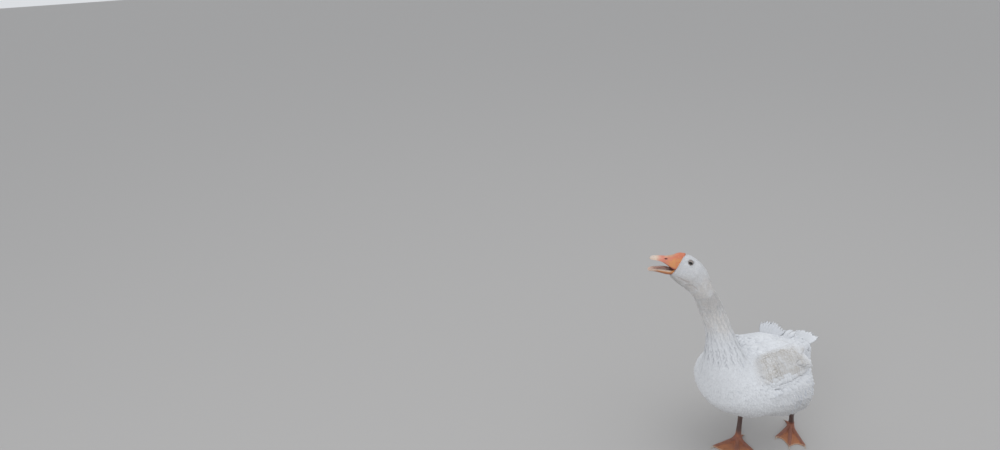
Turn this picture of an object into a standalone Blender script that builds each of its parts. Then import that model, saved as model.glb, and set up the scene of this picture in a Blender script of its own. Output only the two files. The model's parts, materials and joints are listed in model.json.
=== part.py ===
"""A life-size white farm goose that walks with one foot ahead, neck stretched and bill open.

Metres, +Z up. The goose faces -Y, its left side is +X and its soles stand on Z = 0.
Trunk, neck and head are one long loft through named stations, parted by thin plane cuts.
The tail fan, the folded wings, thighs, shanks, feet, claws, bill, tongue and eyes are added to it.
"""

import math

import bmesh
import bpy
import numpy as np
from mathutils import Matrix, Vector

# ---------------------------------------------------------------- driving dimensions
GAP = 0.0005                 # free space between neighbouring solids
SIDES = 28                   # points round each ring of the body
RING_STEP = 0.0148           # distance between rings along the body

# Rings of trunk and neck, from rump to throat: the middle (y, z), half the depth, degrees that
# the ring's top leans back, half the breadth, sideways place, turn to the goose's left in
# degrees, squareness of the ring, and how much wider it is below than above.
TRUNK_RINGS = {
    "tail_root": ((0.168, 0.285), 0.020, -18, 0.034, 0.000, 0, 2.0, 0.00),
    "rump":      ((0.134, 0.262), 0.050, -16, 0.061, 0.000, 0, 2.05, 0.06),
    "paunch":    ((0.100, 0.233), 0.085, -8, 0.111, 0.000, 0, 2.05, 0.14),
    "belly":     ((0.038, 0.231), 0.093, 4, 0.124, 0.000, 0, 2.0, 0.15),
    "keel":      ((-0.022, 0.240), 0.091, 15, 0.127, 0.000, 0, 2.0, 0.12),
    "breast":    ((-0.074, 0.252), 0.094, 31, 0.119, 0.000, 0, 2.05, 0.04),
    "crop":      ((-0.106, 0.277), 0.080, 47, 0.101, -0.001, 0, 2.0, 0.02),
    "collar":    ((-0.119, 0.309), 0.062, 60, 0.074, -0.003, -2, 2.0, 0.00),
    "neck_low":  ((-0.124, 0.350), 0.049, 68, 0.052, -0.010, -6, 2.0, 0.00),
    "neck_mid":  ((-0.132, 0.402), 0.0350, 70, 0.0355, -0.0225, -11, 2.0, 0.00),
    "neck_high": ((-0.154, 0.470), 0.0312, 66, 0.0308, -0.040, -18, 2.0, 0.00),
}

# Rings of the head, in the head's own frame: origin midway between the eyes, bill along -Y.
HEAD_RINGS = {
    "throat":    ((0.068, -0.047), (0.0195, -0.0800), 0.0290, 2.0, 0.00),
    "nape":      ((0.0468, -0.0152), (-0.0005, -0.0688), 0.0285, 2.0, 0.04),
    "crown":     ((0.0215, 0.0058), (-0.0205, -0.0582), 0.0283, 2.1, 0.10),
    "brow":      ((0.003, 0.0149), (-0.0310, -0.0510), 0.0255, 2.1, 0.12),
    "forehead":  ((-0.0105, 0.0178), (-0.0380, -0.0461), 0.0220, 2.1, 0.10),
    "bill_edge": ((-0.0195, 0.0182), (-0.0418, -0.0424), 0.0190, 2.1, 0.06),
}
HEAD_PLACE = (-0.065, -0.222, 0.611)     # the point midway between the eyes
HEAD_TURN = -28                          # degrees about Z, to the goose's right
HEAD_LIFT = 9                            # degrees that the face points up
HEAD_ROLL = 8                            # degrees that the crown leans to the goose's right

# Where the long loft is parted into nodes, by the name of the ring at each cut.
CUTS = {
    "trunk": ("tail_root", "collar"),
    "neck_lower": ("collar", "neck_mid"),
    "neck_upper": ("neck_mid", "throat"),
    "head": ("throat", "bill_edge"),
}

EYE_RADIUS = 0.0070
EYE_PLACE = (0.0156, -0.002, 0.0027)     # of the left eye's middle, in the head's frame

# Sections of the two bills: share of the length from gape to nail, height of the rounded
# outer side, height of the lip, height of the flat inner side's middle, half the breadth.
UPPER_BILL = (
    (0.00, 0.0430, 0.0004, 0.0006, 0.0160),
    (0.12, 0.0400, 0.0008, 0.0040, 0.0155),
    (0.28, 0.0293, 0.0026, 0.0070, 0.0145),
    (0.45, 0.0211, 0.0049, 0.0088, 0.0133),
    (0.62, 0.0166, 0.0055, 0.0088, 0.0123),
    (0.78, 0.0122, 0.0034, 0.0060, 0.0114),
    (0.90, 0.0082, 0.0010, 0.0030, 0.0098),
    (0.97, 0.0052, -0.0006, 0.0006, 0.0068),
    (1.00, 0.0020, -0.0016, -0.0012, 0.0026),
)
LOWER_BILL = (
    (0.00, -0.0176, -0.0013, -0.0014, 0.0140),
    (0.12, -0.0170, -0.0019, -0.0032, 0.0134),
    (0.28, -0.0154, -0.0011, -0.0030, 0.0126),
    (0.45, -0.0124, 0.0004, -0.0020, 0.0118),
    (0.62, -0.0093, 0.0014, -0.0008, 0.0109),
    (0.78, -0.0074, 0.0020, 0.0002, 0.0099),
    (0.90, -0.0062, 0.0010, -0.0004, 0.0082),
    (0.97, -0.0052, -0.0004, -0.0012, 0.0058),
    (1.00, -0.0038, -0.0014, -0.0018, 0.0024),
)
UPPER_LENGTH = 0.066                     # from the gape to the nail
LOWER_LENGTH = 0.0635
UPPER_LIFT = 15                          # degrees that the upper bill is raised from the face
LOWER_DROP = 10                          # degrees that the lower bill hangs open
FACE_SLOPE = 0.372                        # how far the face leans back for each unit up
GAPE = (-0.0349, -0.0225)                # (y, z) of the mouth's corner, in the head's frame
BILL_SIDES = 20
TONGUE_SPAN = (0.24, 0.80)               # shares of the lower bill's length
TONGUE_BREADTH = 0.0062
TONGUE_DEPTH = 0.0030

TAIL_ROOT = (-0.006, 0.118, 0.286)
TAIL_LENGTH = 0.088
TAIL_TURN = -16                          # degrees that the fan swings to the goose's left
TAIL_SPREAD = 58                         # degrees that the fan opens
TAIL_FEATHERS = 9                        # broad tips along the fan's end
TAIL_LIFT = 11                           # degrees that the fan points up
TAIL_ROLL = 15                           # degrees that its left side is raised
TAIL_THICK = 0.0075

WING_AHEAD = 0.040                       # how far along the loft the wing reaches past the breast's ring
WING_REAR = 0.014                       # where along the loft its rear end is
WING_THICK = 0.012
WING_EDGE = 0.0025
RUMP_RADIUS = 0.032                      # of the trunk where the wings end
WING_GAP = 0.0012                        # the facets of wing and trunk differ, so they stand farther off

# Of each fan of inner wing feathers over the rump: its root, its length, and in degrees its
# swing to the left, its lift and its spread.
TERTIALS = {
    "left": ((0.058, 0.044, 0.322), 0.064, 10, -13, 42),
    "right": ((-0.040, 0.060, 0.309), 0.060, -26, 25, 50),
}
TERTIAL_FEATHERS = 3

TOE_LENGTHS = (0.074, 0.092, 0.085)      # inner, middle and outer front toe, from the heel
TOE_SPREAD = {"right": 47, "left": 28}   # degrees between neighbouring front toes
TOE_BREADTH = 0.0056                     # half the breadth of a toe
TOE_THICK = 0.0085
WEB_THICK = 0.0022
WEB_SCALLOP = 0.013                      # how far the web's edge draws back between toes
HEEL_RADIUS = 0.0085
HEEL_HEIGHT = 0.016
SHANK_RADIUS = 0.0062
CLAW_LENGTH = 0.011
CLAW_RADIUS = 0.0026
HIND_TOE_LENGTH = 0.015

# Of each leg: heel of the foot (x, y), turn of the middle toe to the left in degrees,
# middle of the ankle, and the top of the thigh inside the trunk.
LEGS = {
    "right": ((-0.0150, -0.003), 44, (-0.046, 0.026, 0.088), (-0.064, 0.000, 0.190)),
    "left": ((0.016, 0.172), 42, (0.042, 0.130, 0.088), (0.066, 0.070, 0.190)),
}


# ---------------------------------------------------------------- helpers
def clear_scene():
    for thing in list(bpy.data.objects):
        bpy.data.objects.remove(thing, do_unlink=True)


def material(name, colour, roughness, metallic=0.0):
    made = bpy.data.materials.new(name)
    made.use_nodes = True
    shader = made.node_tree.nodes["Principled BSDF"]
    shader.inputs["Base Color"].default_value = (*colour, 1.0)
    shader.inputs["Roughness"].default_value = roughness
    shader.inputs["Metallic"].default_value = metallic
    made.diffuse_color = (*colour, 1.0)
    return made


def add_object(name, points, faces, finish):
    """A closed, smooth shaded object of these points and faces, with its faces pointing out."""
    mesh = bpy.data.meshes.new(name)
    mesh.from_pydata([tuple(p) for p in points], [], faces)
    work = bmesh.new()
    work.from_mesh(mesh)
    bmesh.ops.recalc_face_normals(work, faces=work.faces)
    work.to_mesh(mesh)
    work.free()
    mesh.shade_smooth()
    mesh.set_sharp_from_angle(angle=math.radians(50))
    mesh.materials.append(finish)
    made = bpy.data.objects.new(name, mesh)
    bpy.context.scene.collection.objects.link(made)
    return made


def tube_faces(rings, sides):
    """Side faces between rings of equal size, and one flat cap at each end."""
    faces = []
    for i in range(rings - 1):
        for j in range(sides):
            k = (j + 1) % sides
            faces.append((i * sides + j, i * sides + k, (i + 1) * sides + k, (i + 1) * sides + j))
    faces.append(tuple(range(sides)))
    faces.append(tuple((rings - 1) * sides + j for j in range(sides)))
    return faces


def smooth_through(knots, values, at):
    """Values at the places `at` of a smooth curve through `values` at the places `knots`."""
    knots, values = np.asarray(knots, float), np.asarray(values, float)
    steps = np.diff(knots)
    slopes = np.diff(values, axis=0) / steps[:, None]
    tangents = np.empty_like(values)
    tangents[0], tangents[-1] = slopes[0], slopes[-1]
    weights = (steps[1:] / (steps[:-1] + steps[1:]))[:, None]
    tangents[1:-1] = slopes[:-1] * weights + slopes[1:] * (1 - weights)
    at = np.atleast_1d(np.asarray(at, float))
    i = np.clip(np.searchsorted(knots, at, side="right") - 1, 0, len(steps) - 1)
    h = steps[i][:, None]
    t = ((at - knots[i])[:, None]) / h
    return (
        values[i] * (1 + 2 * t) * (1 - t) ** 2
        + tangents[i] * h * t * (1 - t) ** 2
        + values[i + 1] * t * t * (3 - 2 * t)
        + tangents[i + 1] * h * t * t * (t - 1)
    )


def unit(vector):
    return vector / np.linalg.norm(vector)


# ---------------------------------------------------------------- the long loft
def head_matrix():
    return (
        Matrix.Translation(HEAD_PLACE)
        @ Matrix.Rotation(math.radians(HEAD_TURN), 4, "Z")
        @ Matrix.Rotation(math.radians(-HEAD_LIFT), 4, "X")
        @ Matrix.Rotation(math.radians(-HEAD_ROLL), 4, "Y")
    )


class BodyLoft:
    """The surface of trunk, neck and head: a place along it and an angle round it give a point."""

    def __init__(self):
        centres, uprights, shapes, self.names = [], [], [], []
        for name, (middle, depth, lean, breadth, shift, turn, square, sag) in TRUNK_RINGS.items():
            tilt = math.radians(lean)
            up = Vector((0, depth * math.sin(tilt), depth * math.cos(tilt)))
            turned = Matrix.Rotation(math.radians(turn), 3, "Z") @ up
            centres.append((shift, *middle))
            uprights.append(tuple(turned))
            shapes.append((breadth, square, sag))
            self.names.append(name)
        head = head_matrix()
        for name, (back, front, breadth, square, sag) in HEAD_RINGS.items():
            top, bottom = head @ Vector((0, *back)), head @ Vector((0, *front))
            centres.append(tuple((top + bottom) / 2))
            uprights.append(tuple((top - bottom) / 2))
            shapes.append((breadth, square, sag))
            self.names.append(name)
        centres, uprights = np.array(centres), np.array(uprights)
        steps = np.linalg.norm(np.diff(centres, axis=0), axis=1)
        self.places = np.concatenate([[0.0], np.cumsum(np.maximum(steps, 0.004))])
        ahead = np.gradient(centres, self.places, axis=0)
        sides = np.array([unit(np.cross(a, u)) for a, u in zip(ahead, uprights)])
        head_side = np.array(head.to_3x3() @ Vector((1, 0, 0)))
        for i, name in enumerate(self.names):
            if name in HEAD_RINGS and name != "throat":
                sides[i] = head_side
        sides *= np.sign(sides[:, :1])
        breadths = np.array(shapes)[:, :1]
        self.values = np.hstack([centres, uprights, sides * breadths, shapes])

    def place(self, name):
        return self.places[self.names.index(name)]

    def ring(self, place, angles, swell=0.0):
        """Points at these angles from the back, over the left side, of the ring at this place."""
        row = smooth_through(self.places, self.values, place)[0]
        centre, upright, side = row[:3], row[3:6], row[6:9]
        square, sag = row[10], row[11]
        upright = upright * (1 + swell / np.linalg.norm(upright))
        side = side * (1 + swell / np.linalg.norm(side))
        cosine, sine = np.cos(angles), np.sin(angles)
        power = 2.0 / square
        up = np.sign(cosine) * np.abs(cosine) ** power
        out = np.sign(sine) * np.abs(sine) ** power * (1 - sag * up)
        return centre + up[:, None] * upright + out[:, None] * side

    def solid(self, start, end, swell=0.0):
        """Points and faces of the closed piece between two places."""
        count = max(4, int(round((end - start) / RING_STEP)) + 1)
        angles = np.arange(SIDES) * 2 * math.pi / SIDES
        points = [self.ring(s, angles, swell) for s in np.linspace(start, end, count)]
        return np.concatenate(points), tube_faces(count, SIDES)


def build_long_loft(loft, plumage):
    """Trunk, neck and head: the loft parted at the named rings, with half a gap either side."""
    made = {}
    for name, (first, last) in CUTS.items():
        start = loft.place(first) + (GAP / 2 if first != "tail_root" else 0.0)
        end = loft.place(last) - (GAP / 2 if last != "bill_edge" else 0.0)
        made[name] = add_object(name, *loft.solid(start, end), plumage)
    return made


def cut_away(target, cutter):
    """A Boolean that takes the cutter's space out of the target. The cutter is only a guide."""
    cutter.hide_render = True
    cutter.display_type = "WIRE"
    cut = target.modifiers.new("fit", "BOOLEAN")
    cut.object = cutter
    cut.operation = "DIFFERENCE"


# ---------------------------------------------------------------- head pieces
def build_eyes(head_object, finish, guide_finish):
    """An eyeball on each side, in a socket a gap wider than itself."""
    frame = head_matrix()
    for side, sign in (("left", 1), ("right", -1)):
        middle = frame @ Vector((sign * EYE_PLACE[0], EYE_PLACE[1], EYE_PLACE[2]))
        for name, radius in ((f"eye_{side}", EYE_RADIUS), (f"socket_{side}", EYE_RADIUS + GAP)):
            rows, columns = 8, 12
            points = []
            for i in range(1, rows):
                across = math.pi * i / rows
                for j in range(columns):
                    round_ = 2 * math.pi * j / columns
                    points.append((
                        radius * math.cos(across),
                        radius * math.sin(across) * math.cos(round_),
                        radius * math.sin(across) * math.sin(round_),
                    ))
            turn = frame.to_3x3()
            points = [middle + turn @ Vector(p) for p in points]
            made = add_object(name, points, tube_faces(rows - 1, columns), finish)
            if name.startswith("socket"):
                made.data.materials[0] = guide_finish
                cut_away(head_object, made)


def bill_half(rows, length, tilt, outward):
    """Points of one half of the bill, lofted from the gape to the nail.

    tilt lifts it, and outward is +1 where the rounded side faces up and -1 where it faces down.
    """
    frame = head_matrix()
    turn = Matrix.Rotation(math.radians(-tilt), 3, "X")
    corner = Vector((0, *GAPE))
    places = [row[0] for row in rows]
    steps = np.concatenate([np.linspace(0, 0.9, 9)[:-1], [0.9, 0.96, 1.0]])
    shapes = smooth_through(places, [row[1:] for row in rows], steps)
    points = []
    for step, (outer, lip, inner, breadth) in zip(steps, shapes):
        for j in range(BILL_SIDES):
            angle = 2 * math.pi * j / BILL_SIDES
            up, out = math.cos(angle), math.sin(angle)
            rounded = np.sign(out) * abs(out) ** 0.8
            if up * outward >= 0:
                height = lip + (outer - lip) * abs(up) ** 1.15
            else:
                height = lip + (inner - lip) * abs(up) ** 0.6
            base = turn @ Vector((breadth * rounded, 0, height)) + corner
            spot = turn @ Vector((breadth * rounded, -step * length, height)) + corner
            # The base ring lies a gap off the leaning face, and the shift fades out ahead of it.
            face = GAPE[0] + FACE_SLOPE * (base.z - GAPE[1]) - 2 * GAP
            spot.y += (face - base.y) * max(0.0, 1 - step / 0.4)
            points.append(frame @ spot)
    return points, tube_faces(len(steps), BILL_SIDES)


def build_bill(horn, tongue_skin):
    add_object("upper_bill", *bill_half(UPPER_BILL, UPPER_LENGTH, UPPER_LIFT, 1), horn)
    add_object("lower_bill", *bill_half(LOWER_BILL, LOWER_LENGTH, -LOWER_DROP, -1), horn)
    # The tongue lies a gap above the lower bill's flat upper side.
    frame = head_matrix()
    turn = Matrix.Rotation(math.radians(LOWER_DROP), 3, "X")
    rings, sides, points = 7, 12, []
    for i in range(rings):
        part = i / (rings - 1)
        share = TONGUE_SPAN[0] + (TONGUE_SPAN[1] - TONGUE_SPAN[0]) * part
        swell = max(0.12, math.sin(math.pi * (0.12 + 0.86 * part)) ** 0.5)
        for j in range(sides):
            angle = 2 * math.pi * j / sides
            height = GAP * 2 + 0.0012 + TONGUE_DEPTH * swell * (0.5 + 0.5 * math.cos(angle))
            spot = turn @ Vector((TONGUE_BREADTH * swell * math.sin(angle), -share * LOWER_LENGTH, height))
            points.append(frame @ (spot + Vector((0, GAPE[0], GAPE[1]))))
    add_object("tongue", points, tube_faces(rings, sides), tongue_skin)


# ---------------------------------------------------------------- tail, wings
def sheet_solid(upper, lower, along, across):
    """Faces of a closed sheet from two grids of points, joined round their rims."""
    base, faces = along * across, []
    for i in range(along - 1):
        for j in range(across - 1):
            a, b = i * across + j, i * across + j + 1
            c, d = b + across, a + across
            faces.append((a, b, c, d))
            faces.append((base + d, base + c, base + b, base + a))
    rim = list(range(across))
    rim += [i * across + across - 1 for i in range(1, along)]
    rim += [(along - 1) * across + j for j in range(across - 2, -1, -1)]
    rim += [i * across for i in range(along - 2, 0, -1)]
    for a, b in zip(rim, rim[1:] + rim[:1]):
        faces.append((a, base + a, base + b, b))
    return upper + lower, faces


def build_fan(name, root, length, swing, lift, roll, spread, feathers, thick, plumage):
    """A fan of broad feather tips, thick at its root and thin at its end."""
    across, along, root_reach = 4 * feathers + 1, 5, 0.3 * length
    frame = (
        Matrix.Translation(root)
        @ Matrix.Rotation(math.radians(-swing), 4, "Z")
        @ Matrix.Rotation(math.radians(lift), 4, "X")
        @ Matrix.Rotation(math.radians(-roll), 4, "Y")
    )
    upper, lower = [], []
    for i in range(along):
        share = i / (along - 1)
        for j in range(across):
            part = 2 * j / (across - 1) - 1
            turn = part / 2 * math.radians(spread)
            tip = 0.88 + 0.12 * abs(math.sin(math.pi * feathers * j / (across - 1))) ** 0.6
            end = length * (1 - 0.04 * part * part) * tip
            reach = root_reach + (end - root_reach) * share
            side = math.sin(turn) * reach + 0.26 * length * part * (1 - 0.5 * share)
            arch = -0.30 * side * side / length
            half = thick * (1 - share) ** 0.8 * (1 - 0.75 * abs(part)) + 0.0011
            upper.append(frame @ Vector((side, math.cos(turn) * reach, arch + half)))
            lower.append(frame @ Vector((side, math.cos(turn) * reach, arch - half)))
    return add_object(name, *sheet_solid(upper, lower, along, across), plumage)


def wing_outline(share):
    """Upper and lower edge of the folded wing, in degrees from the back, at a share of its length."""
    upper = 19 - 9 * share ** 0.7
    lower = 52 + 13 * math.sin(math.pi * min(1.0, share * 1.1 + 0.12)) ** 0.8 - 4 * share ** 2
    return upper, lower


def wing_grid(sign, loft, depth, swell):
    """A folded wing that starts `depth` off the trunk, larger by `swell` on its other sides."""
    start, end = loft.place("breast") + WING_AHEAD + swell, WING_REAR - 2 * swell
    margin = math.degrees(swell / RUMP_RADIUS)
    across, along = 9, 16
    outer, inner = [], []
    for i in range(along):
        share = i / (along - 1)
        eased = 0.5 - 0.5 * math.cos(math.pi * share) if share < 0.5 else share
        upper, lower = wing_outline(share)
        middle = (upper + lower) / 2
        taper = min(1.0, (share / 0.10 + 0.15)) ** 0.5
        for j in range(across):
            part = 2 * j / (across - 1) - 1
            half = (lower - upper) / 2 * taper + margin
            angle = np.array([sign * math.radians(middle + half * part)])
            place = start + (end - start) * (eased + 0.03 * part * share)
            crown = (1 - part ** 2) ** 0.7 * min(1.0, 5 * share + 0.1) * (1 - 0.45 * share)
            thick = WING_EDGE + (WING_THICK - WING_EDGE) * crown
            inner.append(loft.ring(place, angle, depth)[0])
            outer.append(loft.ring(place, angle, WING_GAP + thick + swell)[0])
    return sheet_solid(outer, inner, along, across)


def build_wing(side, sign, loft, plumage):
    """A folded wing and the loose fan at its rear. It gives the fan and the wing's guide."""
    add_object(f"wing_{side}", *wing_grid(sign, loft, WING_GAP, 0.0), plumage)
    guide = add_object(f"wing_guide_{side}", *wing_grid(sign, loft, -0.01, 4 * GAP), plumage)
    root, length, swing, lift, spread = TERTIALS[side]
    fan = build_fan(
        f"tertials_{side}", root, length, swing, lift, 0, spread, TERTIAL_FEATHERS, 0.006, plumage
    )
    cut_away(fan, guide)
    return fan, guide


# ---------------------------------------------------------------- legs and feet
def upright_tube(name, spine, sides, finish):
    """A closed tube of level rings: each spine row is (x, y, z, radius across, radius along)."""
    points = []
    for x, y, z, across, along in spine:
        for j in range(sides):
            angle = 2 * math.pi * j / sides
            points.append((x + across * math.cos(angle), y + along * math.sin(angle), z))
    return add_object(name, points, tube_faces(len(spine), sides), finish)


def toe_angles(side):
    """Angles of inner, middle and outer front toe from the middle one, to the goose's left."""
    inward = 1 if side == "right" else -1
    return (inward * TOE_SPREAD[side], 0.0, -inward * TOE_SPREAD[side])


def foot_rim(side, angle):
    """How far the web or the toe's edge reaches at this angle."""
    toes = sorted(zip(toe_angles(side), TOE_LENGTHS))
    for (first, near), (last, far) in zip(toes, toes[1:]):
        if first <= angle <= last:
            part = (angle - first) / (last - first)
            return near + (far - near) * part - WEB_SCALLOP * math.sin(math.pi * part) ** 0.8
    edge = toes[0] if angle < toes[0][0] else toes[-1]
    beyond = math.radians(min(90.0, abs(angle - edge[0])))
    return min(edge[1], max(HEEL_RADIUS, TOE_BREADTH / math.sin(beyond)))


def foot_height(side, angle, reach):
    """Height of the foot's upper side: toes as ridges on the web, and the heel's boss."""
    height = WEB_THICK
    for toe, length in zip(toe_angles(side), TOE_LENGTHS):
        away = math.radians(angle - toe)
        if abs(away) < math.pi / 2:
            off = reach * math.sin(abs(away)) / TOE_BREADTH
            joints = 1 + 0.10 * math.cos(2 * math.pi * reach / 0.024)
            thick = TOE_THICK * (1 - 0.5 * min(1.0, reach / length)) * joints
            if off < 1:
                height = max(height, thick * (1 - off * off) ** 0.5)
    boss = HEEL_HEIGHT * max(0.0, 1 - max(0.0, reach - HEEL_RADIUS) / 0.014) ** 1.5
    return max(height, boss)


def build_foot(side, heel, turn, skin):
    """One flat soled foot: a fan of toes and web on rings round the heel."""
    angles = []
    for toe in sorted(toe_angles(side)):
        angles += [toe - 4.2, toe - 2.1, toe, toe + 2.1, toe + 4.2]
    spread = TOE_SPREAD[side]
    for low in (-spread, 0):
        angles += [low + spread * part for part in (0.26, 0.42, 0.58, 0.74)]
    outer = spread + 4.2
    angles += [sign * (outer + step) for sign in (-1, 1) for step in (5, 14, 32, 60, 100)]
    angles = sorted(angles) + [180.0]
    shares = (0.0, 0.16, 0.30, 0.46, 0.62, 0.76, 0.89, 1.0)
    points, count = [], len(angles)
    for share in shares:
        for angle in angles:
            inner, rim = HEEL_RADIUS * 0.85, foot_rim(side, angle)
            reach = inner + (rim - inner) * share
            way = math.radians(turn + angle)
            points.append((
                heel[0] + reach * math.sin(way),
                heel[1] - reach * math.cos(way),
                HEEL_HEIGHT if share == 0.0 else foot_height(side, angle, reach),
            ))
    for j in range(count):
        x, y, _ = points[(len(shares) - 1) * count + j]
        points.append((x, y, 0.0))
    add_object(f"foot_{side}", points, tube_faces(len(shares) + 1, count), skin)


def build_spike(name, start, way, length, across, height, drop, finish):
    """A flat soled horn or toe: D shaped rings that narrow along `way`, degrees to the left."""
    rings, sides, points = 5, 8, []
    ahead = math.radians(way)
    for i in range(rings):
        part = i / (rings - 1)
        slim = (1 - part) ** 0.7 * 0.86 + 0.14
        for j in range(sides):
            angle = 2 * math.pi * j / sides
            side_step = across * slim * math.cos(angle)
            along = length * part
            points.append((
                start[0] + along * math.sin(ahead) + side_step * math.cos(ahead),
                start[1] - along * math.cos(ahead) + side_step * math.sin(ahead),
                max(0.0, start[2] * (1 - drop * part) + height * slim * math.sin(angle)),
            ))
    add_object(name, points, tube_faces(rings, sides), finish)


def build_leg(side, loft, trunk_guide, plumage, skin, horn):
    heel, turn, ankle, top = LEGS[side]
    build_foot(side, heel, turn, skin)
    inward = 1 if side == "right" else -1
    for name, toe, length in zip(("inner", "middle", "outer"), toe_angles(side), TOE_LENGTHS):
        way = math.radians(turn + toe)
        reach = length + GAP
        start = (heel[0] + reach * math.sin(way), heel[1] - reach * math.cos(way), 0.0)
        build_spike(
            f"claw_{side}_{name}", start, turn + toe, CLAW_LENGTH, CLAW_RADIUS, CLAW_RADIUS * 1.5, 0, horn
        )
    # The small hind toe stands off the heel's inner back, and its claw follows it.
    back = turn + 180 - inward * 38
    way = math.radians(back)
    for name, reach, length, radius, finish in (
        ("hind_toe", HEEL_RADIUS + GAP * 1.5, HIND_TOE_LENGTH, 0.0040, skin),
        ("hind_claw", HEEL_RADIUS + HIND_TOE_LENGTH + GAP * 2.5, 0.007, 0.0017, horn),
    ):
        start = (heel[0] + reach * math.sin(way), heel[1] - reach * math.cos(way), radius)
        build_spike(f"{name}_{side}", start, back, length, radius, radius * 1.2, 0.5, finish)
    # Shank from the heel's boss to the ankle, thigh from there into the trunk.
    spine = []
    for part in np.linspace(0, 1, 9):
        knob = 1 + 0.35 * abs(2 * part - 1) ** 3
        spine.append((
            heel[0] + (ankle[0] - heel[0]) * part,
            heel[1] + (ankle[1] - heel[1]) * part,
            HEEL_HEIGHT + GAP + (ankle[2] - GAP - HEEL_HEIGHT) * part,
            SHANK_RADIUS * 0.9 * knob,
            SHANK_RADIUS * 1.12 * knob,
        ))
    upright_tube(f"shank_{side}", spine, 14, skin)
    spine = []
    for part in np.linspace(0, 1, 8):
        eased = part ** 0.75
        spine.append((
            ankle[0] + (top[0] - ankle[0]) * part,
            ankle[1] + (top[1] - ankle[1]) * part,
            ankle[2] + GAP + (top[2] - ankle[2]) * part,
            0.0095 + 0.030 * eased,
            0.0110 + 0.040 * eased,
        ))
    thigh = upright_tube(f"thigh_{side}", spine, 18, plumage)
    cut_away(thigh, trunk_guide)


# ---------------------------------------------------------------- run
def stand_over_origin():
    """Moves all objects alike, so that the middle of the goose's box is over the origin."""
    shown = [thing for thing in bpy.data.objects if not thing.hide_render]
    corners = np.array([vertex.co for thing in shown for vertex in thing.data.vertices])
    middle = (corners.min(axis=0) + corners.max(axis=0)) / 2
    for thing in bpy.data.objects:
        thing.location = (-middle[0], -middle[1], 0.0)


def main():
    clear_scene()
    plumage = material("plumage", (0.80, 0.80, 0.78), 0.85)
    bill_horn = material("orange_bill", (0.75, 0.27, 0.09), 0.45)
    eye_finish = material("eye", (0.02, 0.015, 0.01), 0.08)
    tongue_skin = material("tongue", (0.70, 0.32, 0.24), 0.5)
    foot_skin = material("foot_skin", (0.62, 0.22, 0.08), 0.6)
    claw_horn = material("claw_horn", (0.22, 0.16, 0.12), 0.5)
    loft = BodyLoft()
    body = build_long_loft(loft, plumage)
    build_eyes(body["head"], eye_finish, plumage)
    build_bill(bill_horn, tongue_skin)
    span = loft.place("tail_root"), loft.place("collar")
    trunk_guide = add_object("trunk_guide", *loft.solid(*span, GAP), plumage)
    tail = build_fan(
        "tail", TAIL_ROOT, TAIL_LENGTH, TAIL_TURN, TAIL_LIFT, TAIL_ROLL, TAIL_SPREAD, TAIL_FEATHERS,
        TAIL_THICK, plumage
    )
    cut_away(tail, trunk_guide)
    for side, sign in (("left", 1), ("right", -1)):
        fan, wing_guide = build_wing(side, sign, loft, plumage)
        cut_away(fan, trunk_guide)
        cut_away(tail, wing_guide)
    for side in LEGS:
        build_leg(side, loft, trunk_guide, plumage, foot_skin, claw_horn)
    stand_over_origin()


main()
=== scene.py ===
# %% [markdown]
# # A white farm goose, life size
# The goose walks with its neck stretched and its bill open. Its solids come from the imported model.
# This lesson dresses them: one skin over the flesh, thousands of small feathers grown on it with
# Geometry Nodes, the big feathers of wings and tail, and a finished bill, eyes and feet.

# %% Load the frame
import math
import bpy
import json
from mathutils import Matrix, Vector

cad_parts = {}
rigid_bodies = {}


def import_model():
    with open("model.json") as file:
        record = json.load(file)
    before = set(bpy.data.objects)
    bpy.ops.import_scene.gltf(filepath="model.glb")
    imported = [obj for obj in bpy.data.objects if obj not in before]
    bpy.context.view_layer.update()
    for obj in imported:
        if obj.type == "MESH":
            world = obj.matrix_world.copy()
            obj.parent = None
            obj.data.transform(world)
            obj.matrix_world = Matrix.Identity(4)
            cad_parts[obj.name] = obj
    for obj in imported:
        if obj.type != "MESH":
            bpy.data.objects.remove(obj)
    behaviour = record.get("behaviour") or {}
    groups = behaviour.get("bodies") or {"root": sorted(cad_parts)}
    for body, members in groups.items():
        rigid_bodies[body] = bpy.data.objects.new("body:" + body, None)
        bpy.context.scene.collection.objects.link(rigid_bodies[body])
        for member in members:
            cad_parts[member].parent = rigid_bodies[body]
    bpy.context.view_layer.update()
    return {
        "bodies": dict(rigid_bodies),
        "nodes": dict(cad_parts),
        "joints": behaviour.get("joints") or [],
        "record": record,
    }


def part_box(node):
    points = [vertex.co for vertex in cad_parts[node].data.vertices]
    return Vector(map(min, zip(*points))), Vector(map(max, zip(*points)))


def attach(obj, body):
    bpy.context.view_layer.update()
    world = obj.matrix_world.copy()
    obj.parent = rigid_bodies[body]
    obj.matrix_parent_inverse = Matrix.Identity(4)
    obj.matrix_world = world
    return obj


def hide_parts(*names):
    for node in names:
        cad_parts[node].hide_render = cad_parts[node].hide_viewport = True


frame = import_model()

import bmesh
import bpy
import json
import numpy as np
from mathutils import Matrix, Vector
from mathutils.bvhtree import BVHTree

nodes = frame["nodes"]
random = np.random.default_rng(7)

# %% [markdown]
# ## Node maths as plain Python
# A material and a geometry tree are both graphs of nodes. To keep them readable, a small class
# wraps a socket, so that `1 - mask * 0.5` adds the Math nodes by itself. Colours go through Mix
# nodes, because a Math node would turn them grey.

# %% A number in a graph, and a graph
def maths(operation, swapped=False):
    """A method that adds a Math node, with swapped inputs for what Python writes number first."""
    def method(value, *others):
        inputs = (*others, value) if swapped else (value, *others)
        made = value.graph.node("ShaderNodeMath", {"operation": operation}, dict(enumerate(inputs)))
        return Value(value.graph, made.outputs[0])
    return method


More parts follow.
